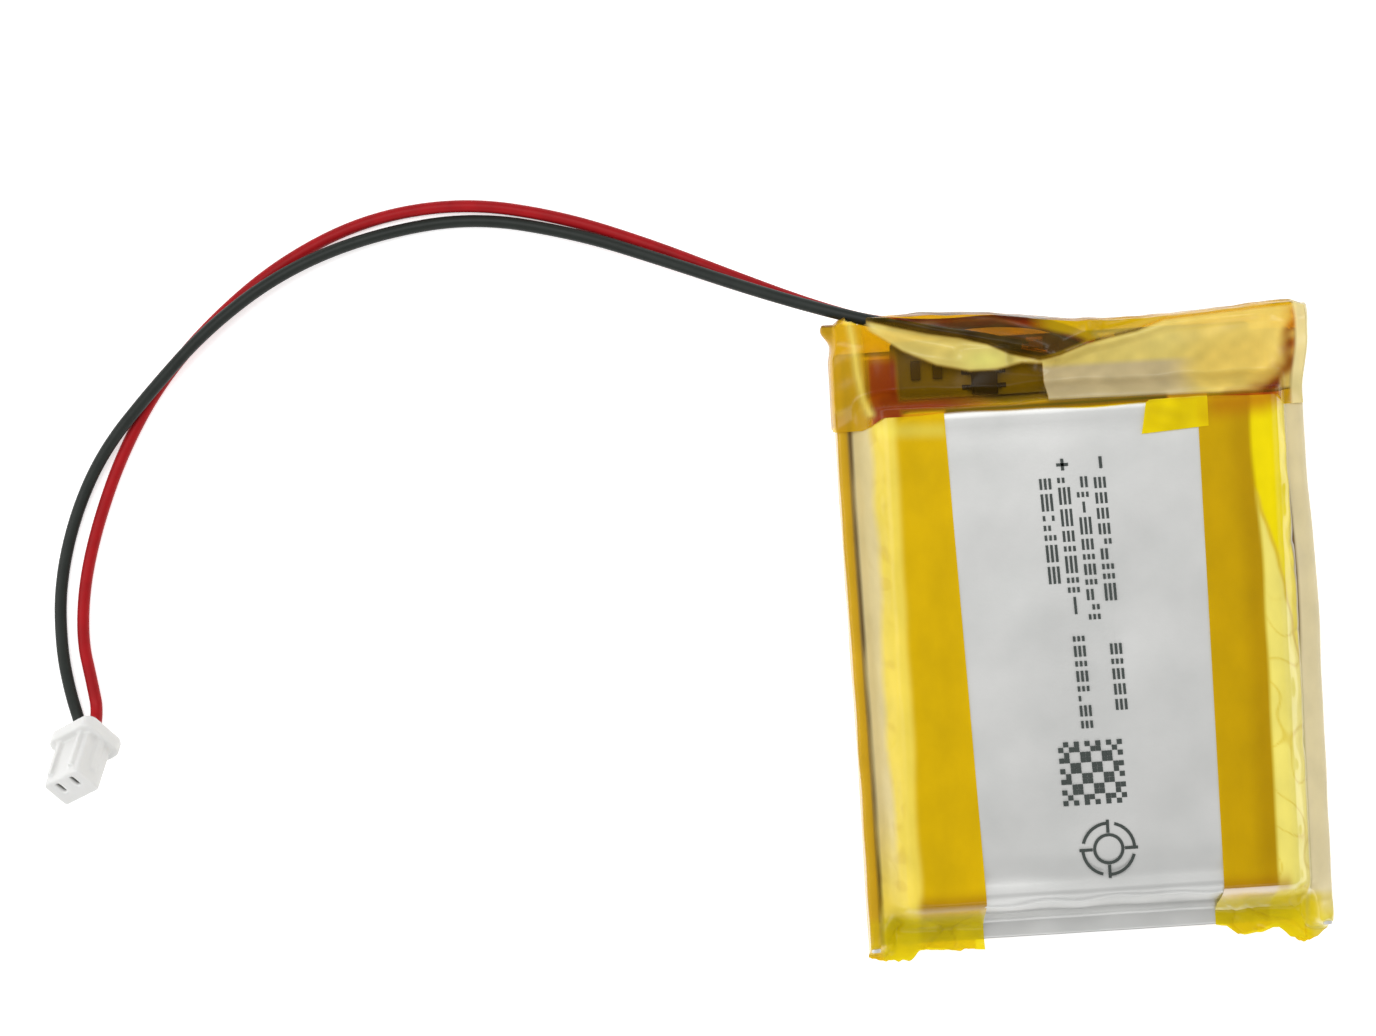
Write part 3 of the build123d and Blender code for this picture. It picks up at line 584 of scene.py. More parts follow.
# ---------------------------------------------------------------- tape
def painted_tape(name):
    """Amber film whose cloudiness, tone and doubled places are painted on the mesh; the painted
    tone, cloudiness and depth also carry painted highlights, reflections and shade.
    """
    material, tree, output = new_material(name)
    tint = ramp(tree, painted(tree, "deep").outputs["Fac"],
                [(0.0, (0.99, 0.80, 0.01)), (0.5, (0.88, 0.48, 0.01)), (1.0, (0.46, 0.17, 0.006))])
    clear = tree.nodes.new("ShaderNodeBsdfTransparent")
    tree.links.new(tint, clear.inputs["Color"])
    body = principled(tree, (0.8, 0.5, 0.1), 0.24, IOR=1.3)
    shade = colour_mix(tree, painted(tree, "tone").outputs["Color"], "MULTIPLY")
    shade.inputs["Factor"].default_value = 1.0
    cloud = noise_field(tree, 520, 4, (1, 0.6, 1))
    tree.links.new(ramp(tree, cloud, [(0.3, grey(0.86)), (0.7, grey(1.0))]),
                   shade.inputs[MIX_SECOND])
    tree.links.new(shade.outputs[MIX_RESULT], body.inputs["Base Color"])
    ripple = bump(tree, body, noise_field(tree, 420, 2, (1, 0.45, 1)), 0.00006, 0.35)
    bump(tree, body, noise_field(tree, 3200, 2), 0.000005, 0.3, below=ripple)
    gloss = tree.nodes.new("ShaderNodeBsdfGlossy")
    gloss.inputs["Roughness"].default_value = 0.32
    tree.links.new(ripple, gloss.inputs["Normal"])
    rim = tree.nodes.new("ShaderNodeFresnel")
    rim.inputs["IOR"].default_value = 1.25

    def mixed(share, first, second):
        node = tree.nodes.new("ShaderNodeMixShader")
        tree.links.new(share, node.inputs["Fac"])
        tree.links.new(first.outputs[0], node.inputs[1])
        tree.links.new(second.outputs[0], node.inputs[2])
        return node

    surface = mixed(rim.outputs[0], clear, gloss)
    film = mixed(painted(tree, "cover").outputs["Fac"], surface, body)
    tree.links.new(film.outputs[0], output.inputs["Surface"])
    return material


tape_film = painted_tape("amber_tape")
# saturated yellow of the right wall: painted highlight
LIT_WALL_YELLOW = (255, 232, 0)
# cream of the right folded flange: painted reflection
CREAM_SHEEN = (240, 226, 184)
UPPER_Z = 4.9             # film above this height belongs to the face's side
FACE_FILM_Z = 10.02       # film that lies on the edge tapes

# ragged ends of the edge tapes past the fold, y over x
TAIL = {
    -1: ([7.4, 8.3, 8.7, 9.0, 10.4, 11.7, 12.4, 14.8, 15.1],
         [-20.5, -20.3, -20.1, -20.2, -20.2, -20.2, -20.8, -20.6, -20.3]),
    1: ([7.4, 8.6, 9.1, 9.6, 10.6, 11.3, 11.7, 12.4, 13.3, 14.3, 15.1],
        [-19.7, -19.8, -20.3, -20.5, -20.4, -20.1, -20.1, -20.7, -21.0, -20.9, -20.2]),
}
# flat part of each edge tape: one film, painted lighter on the left than on the right, painted
# light and shade
FLAT_TONE_LIT_AND_SHADED = {-1: (246, 202, 0), 1: (221, 177, 0)}
BRIDGE = {
    -1: [(12.85, 9.3), (13.3, 8.6), (13.85, 7.75), (14.15, 7.5), (14.4, 7.92)],
    1: [(12.85, 9.3), (13.2, 8.6), (13.5, 8.0), (13.8, 7.9), (14.3, 7.92)],
}


def chaikin(points, rounds):
    """Corner-cut polyline, ends kept."""
    points = np.array(points, float)
    for _ in range(rounds):
        first = 0.75 * points[:-1] + 0.25 * points[1:]
        second = 0.25 * points[:-1] + 0.75 * points[1:]
        middle = np.stack([first, second], axis=1).reshape(-1, 2)
        points = np.concatenate([points[:1], middle[1:-1], points[-1:]])
    return points


def resample(points, count):
    """Evenly spaced points along a polyline."""
    steps = np.hypot(*np.diff(points, axis=0).T)
    along = np.concatenate([[0], np.cumsum(steps)])
    wanted = np.linspace(0, along[-1], count)
    return np.stack([np.interp(wanted, along, points[:, k]) for k in (0, 1)], axis=1)


def paint_right_wall(x, y, slant, upper, tone, cover, deep):
    """The right wall: saturated yellow, paler towards the fold, then a cream flange; the yellow and
    cream are painted highlight and reflection, its darker lines along folds, gap and junction
    painted shade.
    """
    wall_start = 10.95 - 0.4 * smoothstep(3, 12, y) + 0.04 * waves(y, 0 * y, 6, 91)
    wall = smoothstep(0, 0.35, x - wall_start) * upper
    # the flat film darkens just before the wall, painted shade; the wall's saturated yellow is a
    # painted highlight
    tone = blend(tone, (200, 156, 0), smoothstep(-1.4, -0.3, x - wall_start) * upper)
    tone = blend(tone, LIT_WALL_YELLOW, wall)
    # the saturated band of painted highlight crosses from the whole wall to its outer half; the
    # paler film beside it is painted reflection
    slope = y - (9.0 - 4.6 * (x - wall_start)) + 0.5 * waves(y, x, 3, 96)
    tone = blend(tone, (255, 240, 122), wall * smoothstep(0.9, -0.9, slope))
    streak = wall * bell(slope, 0, 0.55) * smoothstep(11.0, 8.0, y)
    tone = blend(tone, (222, 184, 20), 0.75 * streak)
    # darker squiggles along the wall's folds: painted shade
    fold_shade = wall * folds_at(slant, 5) * smoothstep(3.0, -1.0, y)
    tone = blend(tone, (228, 196, 40), 0.6 * fold_shade)
    cover = cover + 0.26 * wall
    # brown line where the end tape meets the wall: painted shade
    junction_shade = near_path(x, y, [(12.9, 15.0), (11.4, 14.5), (9.2, 14.4)], 1.5) * upper
    tone = blend(tone, (196, 120, 4), 0.85 * junction_shade)
    # the folded flange's cream: painted reflection on the film
    flange = smoothstep(13.35, 13.7, x) * upper
    tone = blend(tone, CREAM_SHEEN, flange * smoothstep(-19.4, -18.2, y))
    cover = np.maximum(cover * (1 - flange), 0.86 * flange)
    # dark line along the gap between wall and flange: painted shade
    line = smoothstep(13.3, 13.5, x + 0.1 * waves(y, 0 * y, 5, 92)) * upper
    line = line * (1 - smoothstep(13.55, 13.8, x))
    line = line * smoothstep(10.0, 6.5, y) * smoothstep(-3.0, 1.0, y)
    tone = blend(tone, (130, 100, 30), line)
    return tone, cover * (1 - 0.45 * line), deep + 0.7 * line


def paint_left_wall(x, y, speck, upper, tone, cover, deep):
    """The left wall: yellow, a greyish cream band, a dark valley and the golden folded edge; the
    yellow and cream are painted highlight and reflection, the valley's dark painted shade.
    """
    wall = smoothstep(11.4, 11.95, x - 0.05 * waves(y, 0 * y, 6, 93)) * upper
    # the wall's pale yellow: painted highlight
    tone = blend(tone, (250, 224, 88), wall)
    mottle = wall * smoothstep(0.3, 1.2, speck) * smoothstep(12.2, 12.8, x)
    tone = blend(tone, (232, 200, 70), 0.6 * mottle)
    lit_end = near_path(x, y, [(12.4, 13.9), (8.4, 13.75)], 0.8) * upper
    tone = blend(tone, (255, 236, 96), 0.75 * lit_end)
    # greyish cream band: painted reflection
    grey_cream_reflection = smoothstep(12.95, 13.4, x - 0.15 * waves(y, 0 * y, 9, 94)) * upper
    tone = blend(tone, (234, 216, 156), grey_cream_reflection * smoothstep(-17.5, -9, y))
    cover = cover + 0.26 * wall
    # dark valley between wall and folded edge, with a deeper tint and clearer film: painted shade
    valley = smoothstep(13.95, 14.15, x) * (1 - smoothstep(14.2, 14.42, x)) * upper
    valley = valley * (0.7 + 0.3 * np.tanh(2 * waves(y, 0 * y, 8, 95)))
    deep = deep + 0.9 * valley * smoothstep(-20, -14, y)
    cover = cover * (1 - 0.85 * valley)
    flange = smoothstep(14.2, 14.42, x) * upper
    tone = blend(tone, (232, 186, 40), flange)
    return tone, np.maximum(cover * (1 - flange), 0.6 * flange), deep + 0.15 * flange


def edge_tape(side):
    """Tape from the face over the shoulder, the bridge and the folded seal to the back."""
    control = [(STRIPE_X, THICKNESS), (9.5, THICKNESS), (11.35, THICKNESS),
               (12.3, THICKNESS - 0.02)] + BRIDGE[side] + [
        (14.98, 7.88), (15.02, 7.4), (14.99, 6.2), (EDGE_X, 4.75), (14.5, 4.5), (13.9, 4.3),
        (13.2, 2.6), (12.75, 0.8), (12.1, 0.1), (11.3, FILM_LIFT), (9.5, FILM_LIFT),
        (STRIPE_X, FILM_LIFT)]
    section = resample(chaikin(control, 3), 170)
    rows = 300
    v = np.linspace(0, 1, rows)[:, None]
    x0 = np.repeat(section[None, :, 0], rows, axis=0)
    z0 = np.repeat(section[None, :, 1], rows, axis=0)
    above = z0 > SEAL_Z
    front_tail = np.interp(x0, *TAIL[side])
    back_tail = front_tail + 0.25 * waves(x0, 0 * x0, 3, 40 + side)
    tail = back_tail + (front_tail - back_tail) * smoothstep(4.2, 5.8, z0)
    tail = tail + 0.05 * waves(x0, z0, 0.9, 44 + side)
    y0 = EDGE_TAPE_END + (tail - EDGE_TAPE_END) * v
    # past the fold the film has nothing under it and closes on itself
    cup = 1 - 0.945 * smoothstep(-16.3, -19.05, y0)
    seal = 1 - 0.93 * smoothstep(-19.3, -20.5, y0)
    at_seal = smoothstep(13.1, 14.3, x0)
    z = SEAL_Z + (z0 - SEAL_Z) * (cup * (1 - at_seal) + seal * at_seal)
    # creases: across the bridge, and where the film gathers over the folded end
    bridging = smoothstep(12.5, 12.9, x0) * smoothstep(5.2, 6.5, z)
    bridging = bridging * (1 - smoothstep(13.25, 13.6 - 0.3 * min(side, 0), x0))
    gather = smoothstep(-17.0, -18.2, y0)
    slant = waves(x0 * 0.8, y0 * (0.7 + 0.2 * side), 2.3, 50 + side)
    dents = waves(x0, y0, 3.4, 60 + side)
    push = (-0.05 * folds_at(slant, 2.6) ** 1.5 + 0.08 * dents) * bridging * (1 - gather)
    x = x0 + push * 0.7
    z = z + push * 0.7
    crumple = waves(x0 + 0.6 * waves(x0, y0, 4, 71), y0 * 1.2, 2.8, 70 + side)
    relief = 0.10 * crumple - 0.09 * folds_at(crumple, 3)
    z = z + gather * relief * smoothstep(4.9, 5.1, z)
    z = np.where(above, np.maximum(z, SEAL_Z + 0.19), z)
    z = np.clip(z, FILM_LIFT, THICKNESS)
    z = z + 0.012 * waves(x0, y0, 4, 75 + side) * (z0 > 9.9) * (1 - gather)
    z = np.minimum(z, THICKNESS)
    x = x + 0.03 * waves(y0, z0, 6, 78 + side) * (x0 > 14.7)
    x = x + bow(side, y0) * np.where(above, smoothstep(12.9, 14.0, x0),
                                     smoothstep(13.5, 14.4, x0))
    # the inner edge leans a little
    pivot = 11.0
    along = (y0 + 19) / 34
    inner = (7.6 - 0.2 * along) if side > 0 else (7.5 + 1.1 * along)
    x = x + (inner - STRIPE_X) * (pivot - x0) / (pivot - STRIPE_X) * (x0 < pivot) * above
    places = np.stack([side * x, y0, z], axis=2)

    # the flat film's tone by side, with its painted light and shade
    tone = np.zeros(x0.shape + (3,)) + linear(FLAT_TONE_LIT_AND_SHADED[side])
    cover = 0.6 + 0 * x0
    deep = 0.0 * x0
    upper = z0 > UPPER_Z
    speck = waves(x0 * 1.5, y0, 1.6, 90 + side)
    if side > 0:
        tone, cover, deep = paint_right_wall(x0, y0, slant, upper, tone, cover, deep)
    else:
        tone, cover, deep = paint_left_wall(x0, y0, speck, upper, tone, cover, deep)
    tails = smoothstep(-17.2, -17.9, y0) * upper
    tone = blend(tone, (228, 206, 14), tails * (1 - 0.5 * smoothstep(13.8, 14.5, x0)))
    cover = np.maximum(cover, 0.55 * tails + 0.12 * speck * tails)
    # darker band where the film rounds the shoulder near the folded end: painted shade
    band = bell(y0, -16.6, 0.65) * upper * (1 - smoothstep(11.6, 12.2, x0))
    deep = deep + 0.42 * band * (0.8 + 0.2 * speck)
    tone = blend(tone, (186, 134, 6), 0.7 * band)
    # darker film along the crumpled tails' creases: painted shade
    crumple_shade = tails * folds_at(crumple, 5)
    deep = deep + 0.22 * crumple_shade
    cover = np.clip(cover - 0.12 * crumple_shade, 0, 0.9)
    return places, {"tone": tone, "cover": cover, "deep": np.clip(deep, 0, 1)}


for side, name in ((-1, "left"), (1, "right")):
    places, paint = edge_tape(side)
    sheet_object(f"{name}_edge_wrap", places, tape_film, [f"{name}_edge_tape"],
                 paint=paint)


# ---------------------------------------------------------------- end tape
# outline of the board end, y over x, and the lines that the film follows there
END_EDGE = ([-15.2, -14.4, -12.5, -9.7, -5.1, -3.4, -1.7, 0.4, 2.5, 4.7, 8.9, 13.2, 14.3, 15.2],
            [20.4, 21.0, 21.0, 20.95, 20.75, 20.5, 20.25, 20.0, 19.9, 19.9, 20.1, 20.4, 20.4, 20.1])
LEAD_LINE = [(-15, 21.2), (-12.5, 20.85), (-8.9, 20.15), (-5.6, 19.7), (-3.0, 19.1), (-1.4, 18.4)]
VALLEY_LINE = [(-13.2, 20.6), (-11.1, 20.0), (-9.2, 19.3), (-7.1, 18.8), (-5.4, 18.3),
               (-4.0, 17.9), (-2.2, 17.6)]
CREST_LINE = [(-2.2, 17.6), (-0.8, 18.0), (0.9, 18.6), (2.4, 18.9), (4.1, 19.2), (5.9, 19.7),
              (9, 19.9), (13, 20.1)]
# upper and lower border of the pale, doubled film, paled further by painted reflection
UPPER_LINE = [(-13.5, 21.0), (-12.5, 20.7), (-11.1, 20.3), (-9.2, 19.8), (-7.1, 19.4),
              (-5.4, 18.9), (-4.0, 18.2), (-2.1, 17.7), (-0.8, 18.0), (0.9, 18.6), (2.4, 18.9),
              (4.1, 19.2), (5.9, 19.8), (12.5, 20.2), (15, 20.3)]
LOWER_LINE = [(-13.5, 20.6), (-12.4, 19.9), (-10.8, 18.8), (-8.7, 17.8), (-6.6, 17.3),
              (-4.9, 17.3), (-3.2, 17.6), (-2.0, 17.5), (-1.9, 15.3), (15, 15.0)]
# where the end tape meets the right wall; a line of painted shade follows it
BROWN_LINE = [(14.2, 19.6), (13.9, 18.0), (13.6, 16.4), (12.6, 15.4), (11.6, 15.0), (9.6, 14.5)]
# ridge of the end tape at the left, along which a painted highlight runs
RIDGE_LINE = [(-14.1, 21.0), (-13.95, 19.6), (-13.8, 17.7), (-13.5, 15.8), (-13.2, 15.0)]
CHIP_TOP = 7.62           # the film stays above the chip
TOP, END, LOW = 0, 1, 2   # which part of the end tape a row of its mesh belongs to


def past_line(x, y, line):
    """How far y lies beyond a line drawn over x."""
    return y - np.interp(x, *zip(*line))


def end_top(x, y):
    """Height of the film draped over the board, its parts and the leads."""
    over_chip = smoothstep(-7.6, -6.8, x) * smoothstep(-3.6, -4.4, x) * smoothstep(19.3, 18.6, y)
    drop = smoothstep(15.15, 16.35, y + 0.12 * waves(x, 0 * x, 5, 101))
    zone = CHIP_TOP + 0.07 * waves(x, y, 3.6, 102)
    zone = zone + 0.32 * near_path(x, y, LEAD_LINE, 1.0)
    zone = zone - 0.55 * near_path(x, y, VALLEY_LINE, 1.0)
    zone = zone + 0.35 * near_path(x, y, CREST_LINE, 0.8)
    beyond = smoothstep(-0.4, 0.6, past_line(x, y, CREST_LINE)) * smoothstep(-3, -1, x)
    zone = zone - 0.75 * beyond * smoothstep(0.9, 2.2, x)
    zone = zone * (1 - over_chip) + np.maximum(zone, CHIP_TOP) * over_chip
    sides = smoothstep(11.6, 13.4, np.abs(x))
    zone = zone * (1 - sides) + 7.9 * sides
    height = FACE_FILM_Z + (zone - FACE_FILM_Z) * drop
    edge_side = smoothstep(12.3, 14.0, np.abs(x))
    height = height * (1 - edge_side) + (7.95 + 0.12 * waves(x, y, 2.5, 104)) * edge_side
    return height - 0.9 * smoothstep(19.2, 20.9, y) * sides


def end_bottom(x, y):
    """Underside of the film at the board end."""
    rise = smoothstep(15.2, 17.4, y)
    height = FILM_LIFT + (4.35 - FILM_LIFT) * rise
    edge_side = smoothstep(12.3, 14.0, np.abs(x))
    return height * (1 - edge_side) + np.maximum(height, 4.45) * edge_side


def right_draw(y):
    """How far the end tape's right side is drawn in at y."""
    return 0.1 + 0.5 * smoothstep(18.5, 14.5, y)


def end_tape():
    """Film round the board end: over the top, down the end, back underneath, shut at the sides."""
    inner_x = np.linspace(-EDGE_X, EDGE_X, 301)
    side_columns = 12
    shut = np.concatenate([np.linspace(1, 0, side_columns, endpoint=False),
                           np.zeros(len(inner_x)), np.linspace(0, 1, side_columns + 1)[1:]])
    x0 = np.concatenate([np.full(side_columns, -EDGE_X), inner_x, np.full(side_columns, EDGE_X)])
    top_rows, end_rows, low_rows = 130, 26, 60
    edge = np.interp(x0, *END_EDGE)
    set_back = 0.85 * smoothstep(12.3, 13.6, np.abs(x0))
    lap = LAP_Y + 0.12 * waves(x0, 0 * x0, 6, 110) - set_back
    lap_low = LAP_Y - set_back
    rows = []
    kind = []
    for t in np.linspace(0, 1, top_rows):
        y = lap + (edge - lap) * t
        rows.append(np.stack([x0, y, end_top(x0, y)], axis=1))
        kind.append(TOP)
    high, low = end_top(x0, edge), end_bottom(x0, edge)
    for t in np.linspace(0, 1, end_rows + 2)[1:-1]:
        bulge = 0.12 * math.sin(math.pi * t) + 0.05 * waves(x0, high * t, 3, 112)
        rows.append(np.stack([x0, edge + bulge, high + (low - high) * t], axis=1))
        kind.append(END)
    for t in np.linspace(1, 0, low_rows):
        y = lap_low + (edge - lap_low) * t
        rows.append(np.stack([x0, y, end_bottom(x0, y)], axis=1))
        kind.append(LOW)
    places = np.array(rows)
    x, y, z = places[..., 0].copy(), places[..., 1].copy(), places[..., 2].copy()
    kind = np.array(kind)[:, None] + 0 * x
    join = 6.3 + 0.2 * waves(y, 0 * y, 5, 114)
    closing = np.repeat(shut[None, :], len(rows), axis=0)
    z = z + (join - z) * closing
    point = bell(y, 20.3, 0.8) * (x < 0) + 0.15 * bell(y, 19.6, 0.9) * (x > 0)
    swell = 0.12 * np.sin(np.pi * np.clip(closing, 0, 1)) + 0.12 * closing
    x = x + np.sign(x) * (swell + (0.75 * point) * smoothstep(0, 0.9, closing))
    x = x - right_draw(y) * smoothstep(12.5, 14.0, x)
    x = x - 0.3 * smoothstep(19.8, 18.0, y) * smoothstep(12.5, 14.0, -x)
    z = z + 0.03 * waves(x, y, 2.6, 116) * (kind == TOP) * smoothstep(15.4, 16.5, y)
    return np.stack([x, y, z], axis=2), kind


def paint_end_tape(places, kind):
    """Tone, cover and depth of the end tape, from its middle out to its edges."""
    x, y = places[..., 0], places[..., 1]
    upper = (kind == TOP) * 1.0
    speck = waves(x, y, 1.4, 120)
    tone = np.zeros(x.shape + (3,)) + linear((214, 160, 20))
    cover = 0.03 + 0 * x
    deep = 0.22 * upper * smoothstep(15.3, 16.0, y)
    above_upper = past_line(x, y, UPPER_LINE)

    # the pale film that lies double over the board, paled further by painted reflection
    pale = smoothstep(0.12, -0.18, above_upper)
    pale = pale * smoothstep(-0.2, 0.15, past_line(x, y, LOWER_LINE))
    pale = pale * upper * smoothstep(-13.4, -12.6, x)
    tone = blend(tone, (240, 218, 122), pale)
    # brightest spot of the pale film: painted highlight
    glare_highlight = np.exp(-(((x + 5.6) / 1.6) ** 2 + ((y - 17.9) / 0.7) ** 2))
    tone = blend(tone, (246, 238, 130), pale * glare_highlight)
    drab = smoothstep(17.5, 17.0, y) * smoothstep(8.5, 6.5, x) * (1 - smoothstep(-1.9, -2.3, x))
    tone = blend(tone, (214, 196, 150), pale * drab)
    tone = blend(tone, (248, 218, 112), pale * smoothstep(5.5, 9.0, x))
    cover = np.maximum(cover, pale * (0.82 + 0.04 * speck))

    golden = smoothstep(-0.1, 0.25, above_upper) * smoothstep(-3.2, -1.0, x) * upper
    tone = blend(tone, (208, 176, 10), golden)
    cover = np.maximum(cover, 0.62 * golden)

    # dark olive film over the leads, which lie modelled beneath it: painted shade
    over_leads_shade = smoothstep(0.0, 0.3, above_upper) * smoothstep(-12.6, -11.6, x)
    over_leads_shade = over_leads_shade * smoothstep(1.4, 0.2, x)
    over_leads_shade = over_leads_shade * smoothstep(20.75, 20.3, y + 0.28 * (x + 5) * (x > -5)) * upper
    deep = np.maximum(deep, 0.8 * over_leads_shade)
    tone = blend(tone, (104, 84, 34), over_leads_shade)
    cover = cover * (1 - over_leads_shade) + (0.34 + 0.08 * speck) * over_leads_shade

    # orange-brown corner beside the board, and its run along the face's end: film lying in several
    # layers, darkened further by painted shade
    corner = smoothstep(-11.0, -11.5, x) * smoothstep(19.3, 17.8, y)
    run = smoothstep(-4.0, -9.0, x) * smoothstep(16.0, 15.5, y) * smoothstep(15.0, 15.3, y)
    orange = smoothstep(-13.3, -12.9, x) * np.maximum(corner, run) * upper
    tone = blend(tone, (162, 60, 8), orange)
    cover = np.maximum(cover * (1 - orange), 0.6 * orange)
    deep = np.maximum(deep, 0.8 * orange)

    # brown line where the film turns down to the face at the right: painted shade
    end_junction_shade = near_path(x, y, BROWN_LINE, 1.05) * upper * (0.75 + 0.25 * speck)
    tone = blend(tone, (186, 100, 8), end_junction_shade)
    deep = np.maximum(deep, 0.75 * end_junction_shade)
    cover = cover * (1 - 0.55 * end_junction_shade)

    olive = near_path(x, y, [(-8.4, 14.95), (5.4, 15.0)], 0.34) * upper
    tone = blend(tone, (92, 88, 6), olive)
    cover = np.maximum(cover, 0.7 * olive)
    deep = np.maximum(deep, 0.6 * olive)

    left_edge = smoothstep(-13.1, -13.5, x) * upper
    tone = blend(tone, (216, 170, 26), left_edge)
    cover = np.maximum(cover * (1 - left_edge), 0.62 * left_edge)
    # light line along the ridge: painted highlight
    ridge_highlight = near_path(x, y, RIDGE_LINE, 0.5) * upper
    tone = blend(tone, (236, 212, 96), ridge_highlight)
    cover = np.maximum(cover, 0.85 * ridge_highlight)
    # cream film at the right side: painted reflection
    right_edge = smoothstep(14.1, 14.4, x + right_draw(y))
    tone = blend(tone, (250, 234, 166), right_edge)
    cover = np.maximum(cover * (1 - right_edge), 0.8 * right_edge)

    cover = np.where(kind > TOP, 0.45, cover)
    end_leads = (kind == END) * smoothstep(-12.8, -9.5, x) * smoothstep(3.0, -2.5, x)
    tone = blend(tone, (112, 88, 30), end_leads)
    deep = np.maximum(deep, 0.7 * end_leads)
    return {"tone": tone, "cover": np.clip(cover, 0, 0.92), "deep": np.clip(deep, 0, 1)}


def cut_exit(thing):
    """Opens the film where the two leads come out, above the seal at the left corner."""
    shape = bmesh.new()
    shape.from_mesh(thing.data)
    doomed = []
    for face in shape.faces:
        middle = face.calc_center_median() / MM
        if middle.y > 20.55 and -14.3 < middle.x < -11.0 and 4.4 < middle.z < 7.1:
            doomed.append(face)
    bmesh.ops.delete(shape, geom=doomed, context="FACES")
    shape.to_mesh(thing.data)
    shape.free()


places, kind = end_tape()
cut_exit(sheet_object("board_end_wrap", places, tape_film, ["top_end_tape"],
                      paint=paint_end_tape(places, kind)))


def face_tab():
    """Short overlap of the end tape on the bare stripe, with a slanted edge."""
    u = np.linspace(0, 1, 40)[None, :]
    v = np.linspace(0, 1, 30)[:, None]
    right = 8.05 + 0 * v
    left = 4.25 - 0.45 * v
    x = left + (right - left) * u
    low = 12.75 + 0.25 * (x - 3.8) / 4
    y = 15.2 + (low - 15.2) * v
    z = FACE_FILM_Z + 0.01 - 0.35 * smoothstep(14.9, 15.3, y) + 0.01 * waves(x, y, 2, 130)
    tone = np.zeros(x.shape + (3,)) + linear((252, 226, 0))
    cover = 0.62 + 0.08 * waves(x, y, 1.5, 131)
    return np.stack([x, y, z], axis=2), {"tone": tone, "cover": cover, "deep": 0 * x}


places, paint = face_tab()
sheet_object("face_overlap", places, tape_film, ["face_tape_tab"], paint=paint)


# ---------------------------------------------------------------- printed marks
MARK_Z = FACE_Z + 0.07
LEAN = 0.045              # the print runs slightly askew
SIGN_X, SIGN_Y = 0.5, 10.75
# rows of bars: x, first y, last y
BAR_ROWS = ((-2.0, 10.3, 3.5), (-0.85, 10.3, 1.4), (-0.85, 0.2, -5.7),
            (0.3, 10.3, 1.2), (1.45, 10.2, 2.0), (1.45, -0.4, -4.7))
BAR_LENGTHS = [0.34, 0.34, 0.7, 1.1]
BAR_WIDTH, BAR_PITCH, BAR_GAP = 0.17, 0.29, 0.28
GRID_X, GRID_Y, GRID_SIZE, GRID_CELLS = -2.85, -10.6, 4.1, 12
RING_X, RING_Y, RING_STEPS, RING_WIDTH = 0.35, -13.5, 48, 0.2
TICK_RADIUS, TICK_REACH, TICK_HALF = 1.45, 0.42, 0.1


def printed_marks():
    """Generic inkjet marks: polarity signs, rows of bars, a plain check grid and a ring symbol."""
    shape = bmesh.new()

    def add(corners, z=MARK_Z):
        shape.faces.new([shape.verts.new((x * MM, y * MM, z * MM)) for x, y in corners])

    def quad(x0, y0, x1, y1):
        add([(x0 - LEAN * y0, y0), (x1 - LEAN * y0, y0),
             (x1 - LEAN * y1, y1), (x0 - LEAN * y1, y1)])

    # plus, then minus
    quad(-1.42 + SIGN_X, SIGN_Y, -1.22 + SIGN_X, SIGN_Y + 0.75)
    quad(-1.70 + SIGN_X, SIGN_Y + 0.27, -0.95 + SIGN_X, SIGN_Y + 0.47)
    quad(1.0 + SIGN_X, SIGN_Y, 1.2 + SIGN_X, SIGN_Y + 0.75)
    random = np.random.default_rng(5)
    for x, start, stop in BAR_ROWS:
        y = start
        while y > stop + 0.3:
            length = random.choice(BAR_LENGTHS)
            length = min(length, y - stop)
            for column in (0, 1, 2):
                if random.random() < 0.88:
                    x0 = x - 0.38 + BAR_PITCH * column
                    quad(x0, y - length, x0 + BAR_WIDTH, y)
            y -= length + BAR_GAP
    size = GRID_SIZE / GRID_CELLS
    last = GRID_CELLS - 1
    for row in range(GRID_CELLS):
        for column in range(GRID_CELLS):
            border = row in (0, last) or column in (0, last)
            parity = row + column if border else row // 2 + column // 2
            if parity % 2 == 0:
                x0 = GRID_X + column * size
                y0 = GRID_Y + row * size
                quad(x0, y0, x0 + size * 0.96, y0 + size * 0.96)
    for radius in (1.75, 1.0):
        for step in range(RING_STEPS):
            # the outer ring is open in four places
            if radius > 1.5 and step % 12 > 9:
                continue
            a0, a1 = (2 * math.pi * (step + k) / RING_STEPS for k in (0, 1))
            inner = radius - RING_WIDTH
            add([(RING_X + r * math.cos(a), RING_Y + r * math.sin(a))
                 for r, a in ((radius, a0), (radius, a1), (inner, a1), (inner, a0))])
    for across, along in ((0, 1), (1, 0)):
        for sign in (-1, 1):
            x = RING_X + sign * across * TICK_RADIUS
            y = RING_Y + sign * along * TICK_RADIUS
            dx = TICK_REACH * across + TICK_HALF * along
            dy = TICK_REACH * along + TICK_HALF * across
            add([(x - dx, y - dy), (x + dx, y - dy), (x + dx, y + dy), (x - dx, y + dy)],
                MARK_Z + 0.004)
    mesh = bpy.data.meshes.new("printed_marks")
    shape.to_mesh(mesh)
    shape.free()
    mesh.materials.append(plain_material("marking_ink", (0.035, 0.045, 0.04), 0.6))
    marks = bpy.data.objects.new("printed_marks", mesh)
    scene.collection.objects.link(marks)
    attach(marks, BODY)


printed_marks()


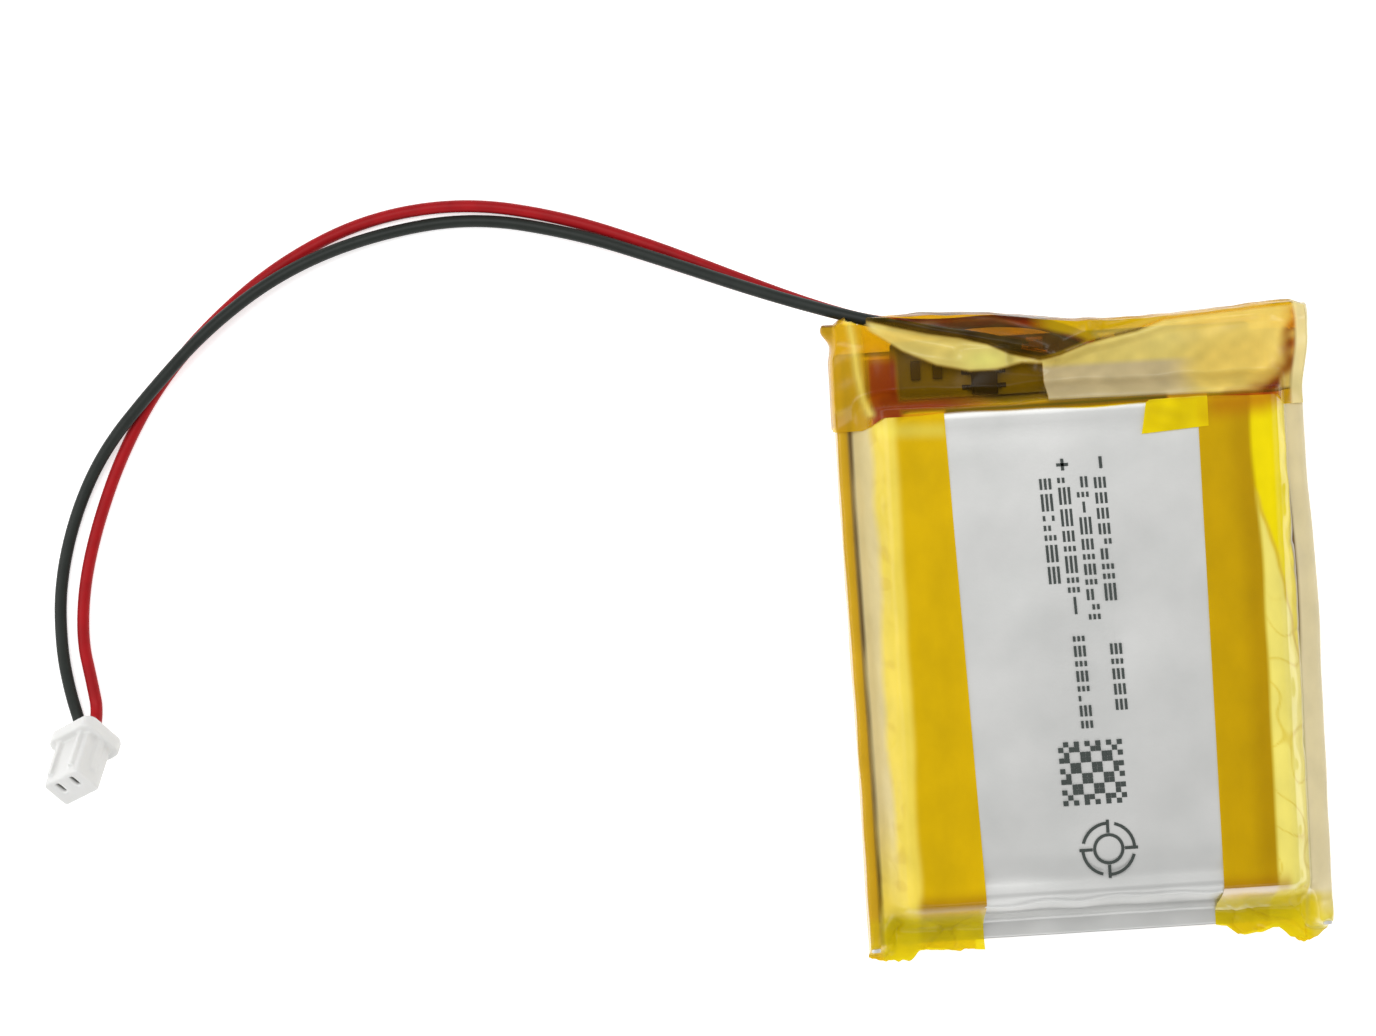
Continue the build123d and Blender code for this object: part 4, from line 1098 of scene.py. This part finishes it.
# ---------------------------------------------------------------- plug
def soften(node, cell, rounds):
    """Rounds a CAD node's edges all over, as a much-handled moulding's are."""
    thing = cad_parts[node]
    remesh = thing.modifiers.new("even mesh", "REMESH")
    remesh.mode = "VOXEL"
    remesh.voxel_size = cell * MM
    remesh.use_smooth_shade = True
    smooth = thing.modifiers.new("soft edges", "SMOOTH")
    smooth.factor = 0.5
    smooth.iterations = rounds


soften("plug_housing", 0.06, 38)


# ---------------------------------------------------------------- stage
def add_floor():
    """Plain pale floor, level with the pack's underside."""
    mesh = bpy.data.meshes.new("floor")
    reach = 2.0
    corners = [(-reach, -reach, 0), (reach, -reach, 0), (reach, reach, 0), (-reach, reach, 0)]
    mesh.from_pydata(corners, [], [(0, 1, 2, 3)])
    floor = bpy.data.objects.new("floor", mesh)
    scene.collection.objects.link(floor)
    material, tree, output = new_material("floor")
    shader = principled(tree, grey(0.93), 0.9, Emission_Color=(1, 1, 1, 1), Emission_Strength=0.5)
    tree.links.new(shader.outputs[0], output.inputs["Surface"])
    mesh.materials.append(material)


def add_light(name, place, target, size, power, colour=(1, 1, 1)):
    """Soft rectangular light; place, target and size in millimetres."""
    data = bpy.data.lights.new(name, "AREA")
    data.shape = "RECTANGLE"
    data.size = size[0] * MM
    data.size_y = size[1] * MM
    data.energy = power
    data.color = colour
    light = bpy.data.objects.new(name, data)
    light.location = Vector(place) * MM
    aim = Vector(target) - Vector(place)
    light.rotation_euler = aim.to_track_quat("-Z", "Y").to_euler()
    scene.collection.objects.link(light)


def add_world(strength):
    """Even white surroundings."""
    world = bpy.data.worlds.new("surroundings")
    world.use_nodes = True
    background = world.node_tree.nodes["Background"]
    background.inputs["Color"].default_value = (1, 1, 1, 1)
    background.inputs["Strength"].default_value = strength
    scene.world = world


add_floor()
add_world(0.25)
add_light("key", (-60, 170, 380), (0, 0, 0), (260, 200), 0.92)
add_light("low_fill", (0, -330, 220), (0, 0, 0), (300, 140), 0.36)
add_light("left_fill", (-330, 20, 200), (0, 0, 0), (160, 260), 0.5)
add_light("right_fill", (330, 20, 200), (0, 0, 0), (160, 260), 0.32)
scene.view_settings.view_transform = "Standard"
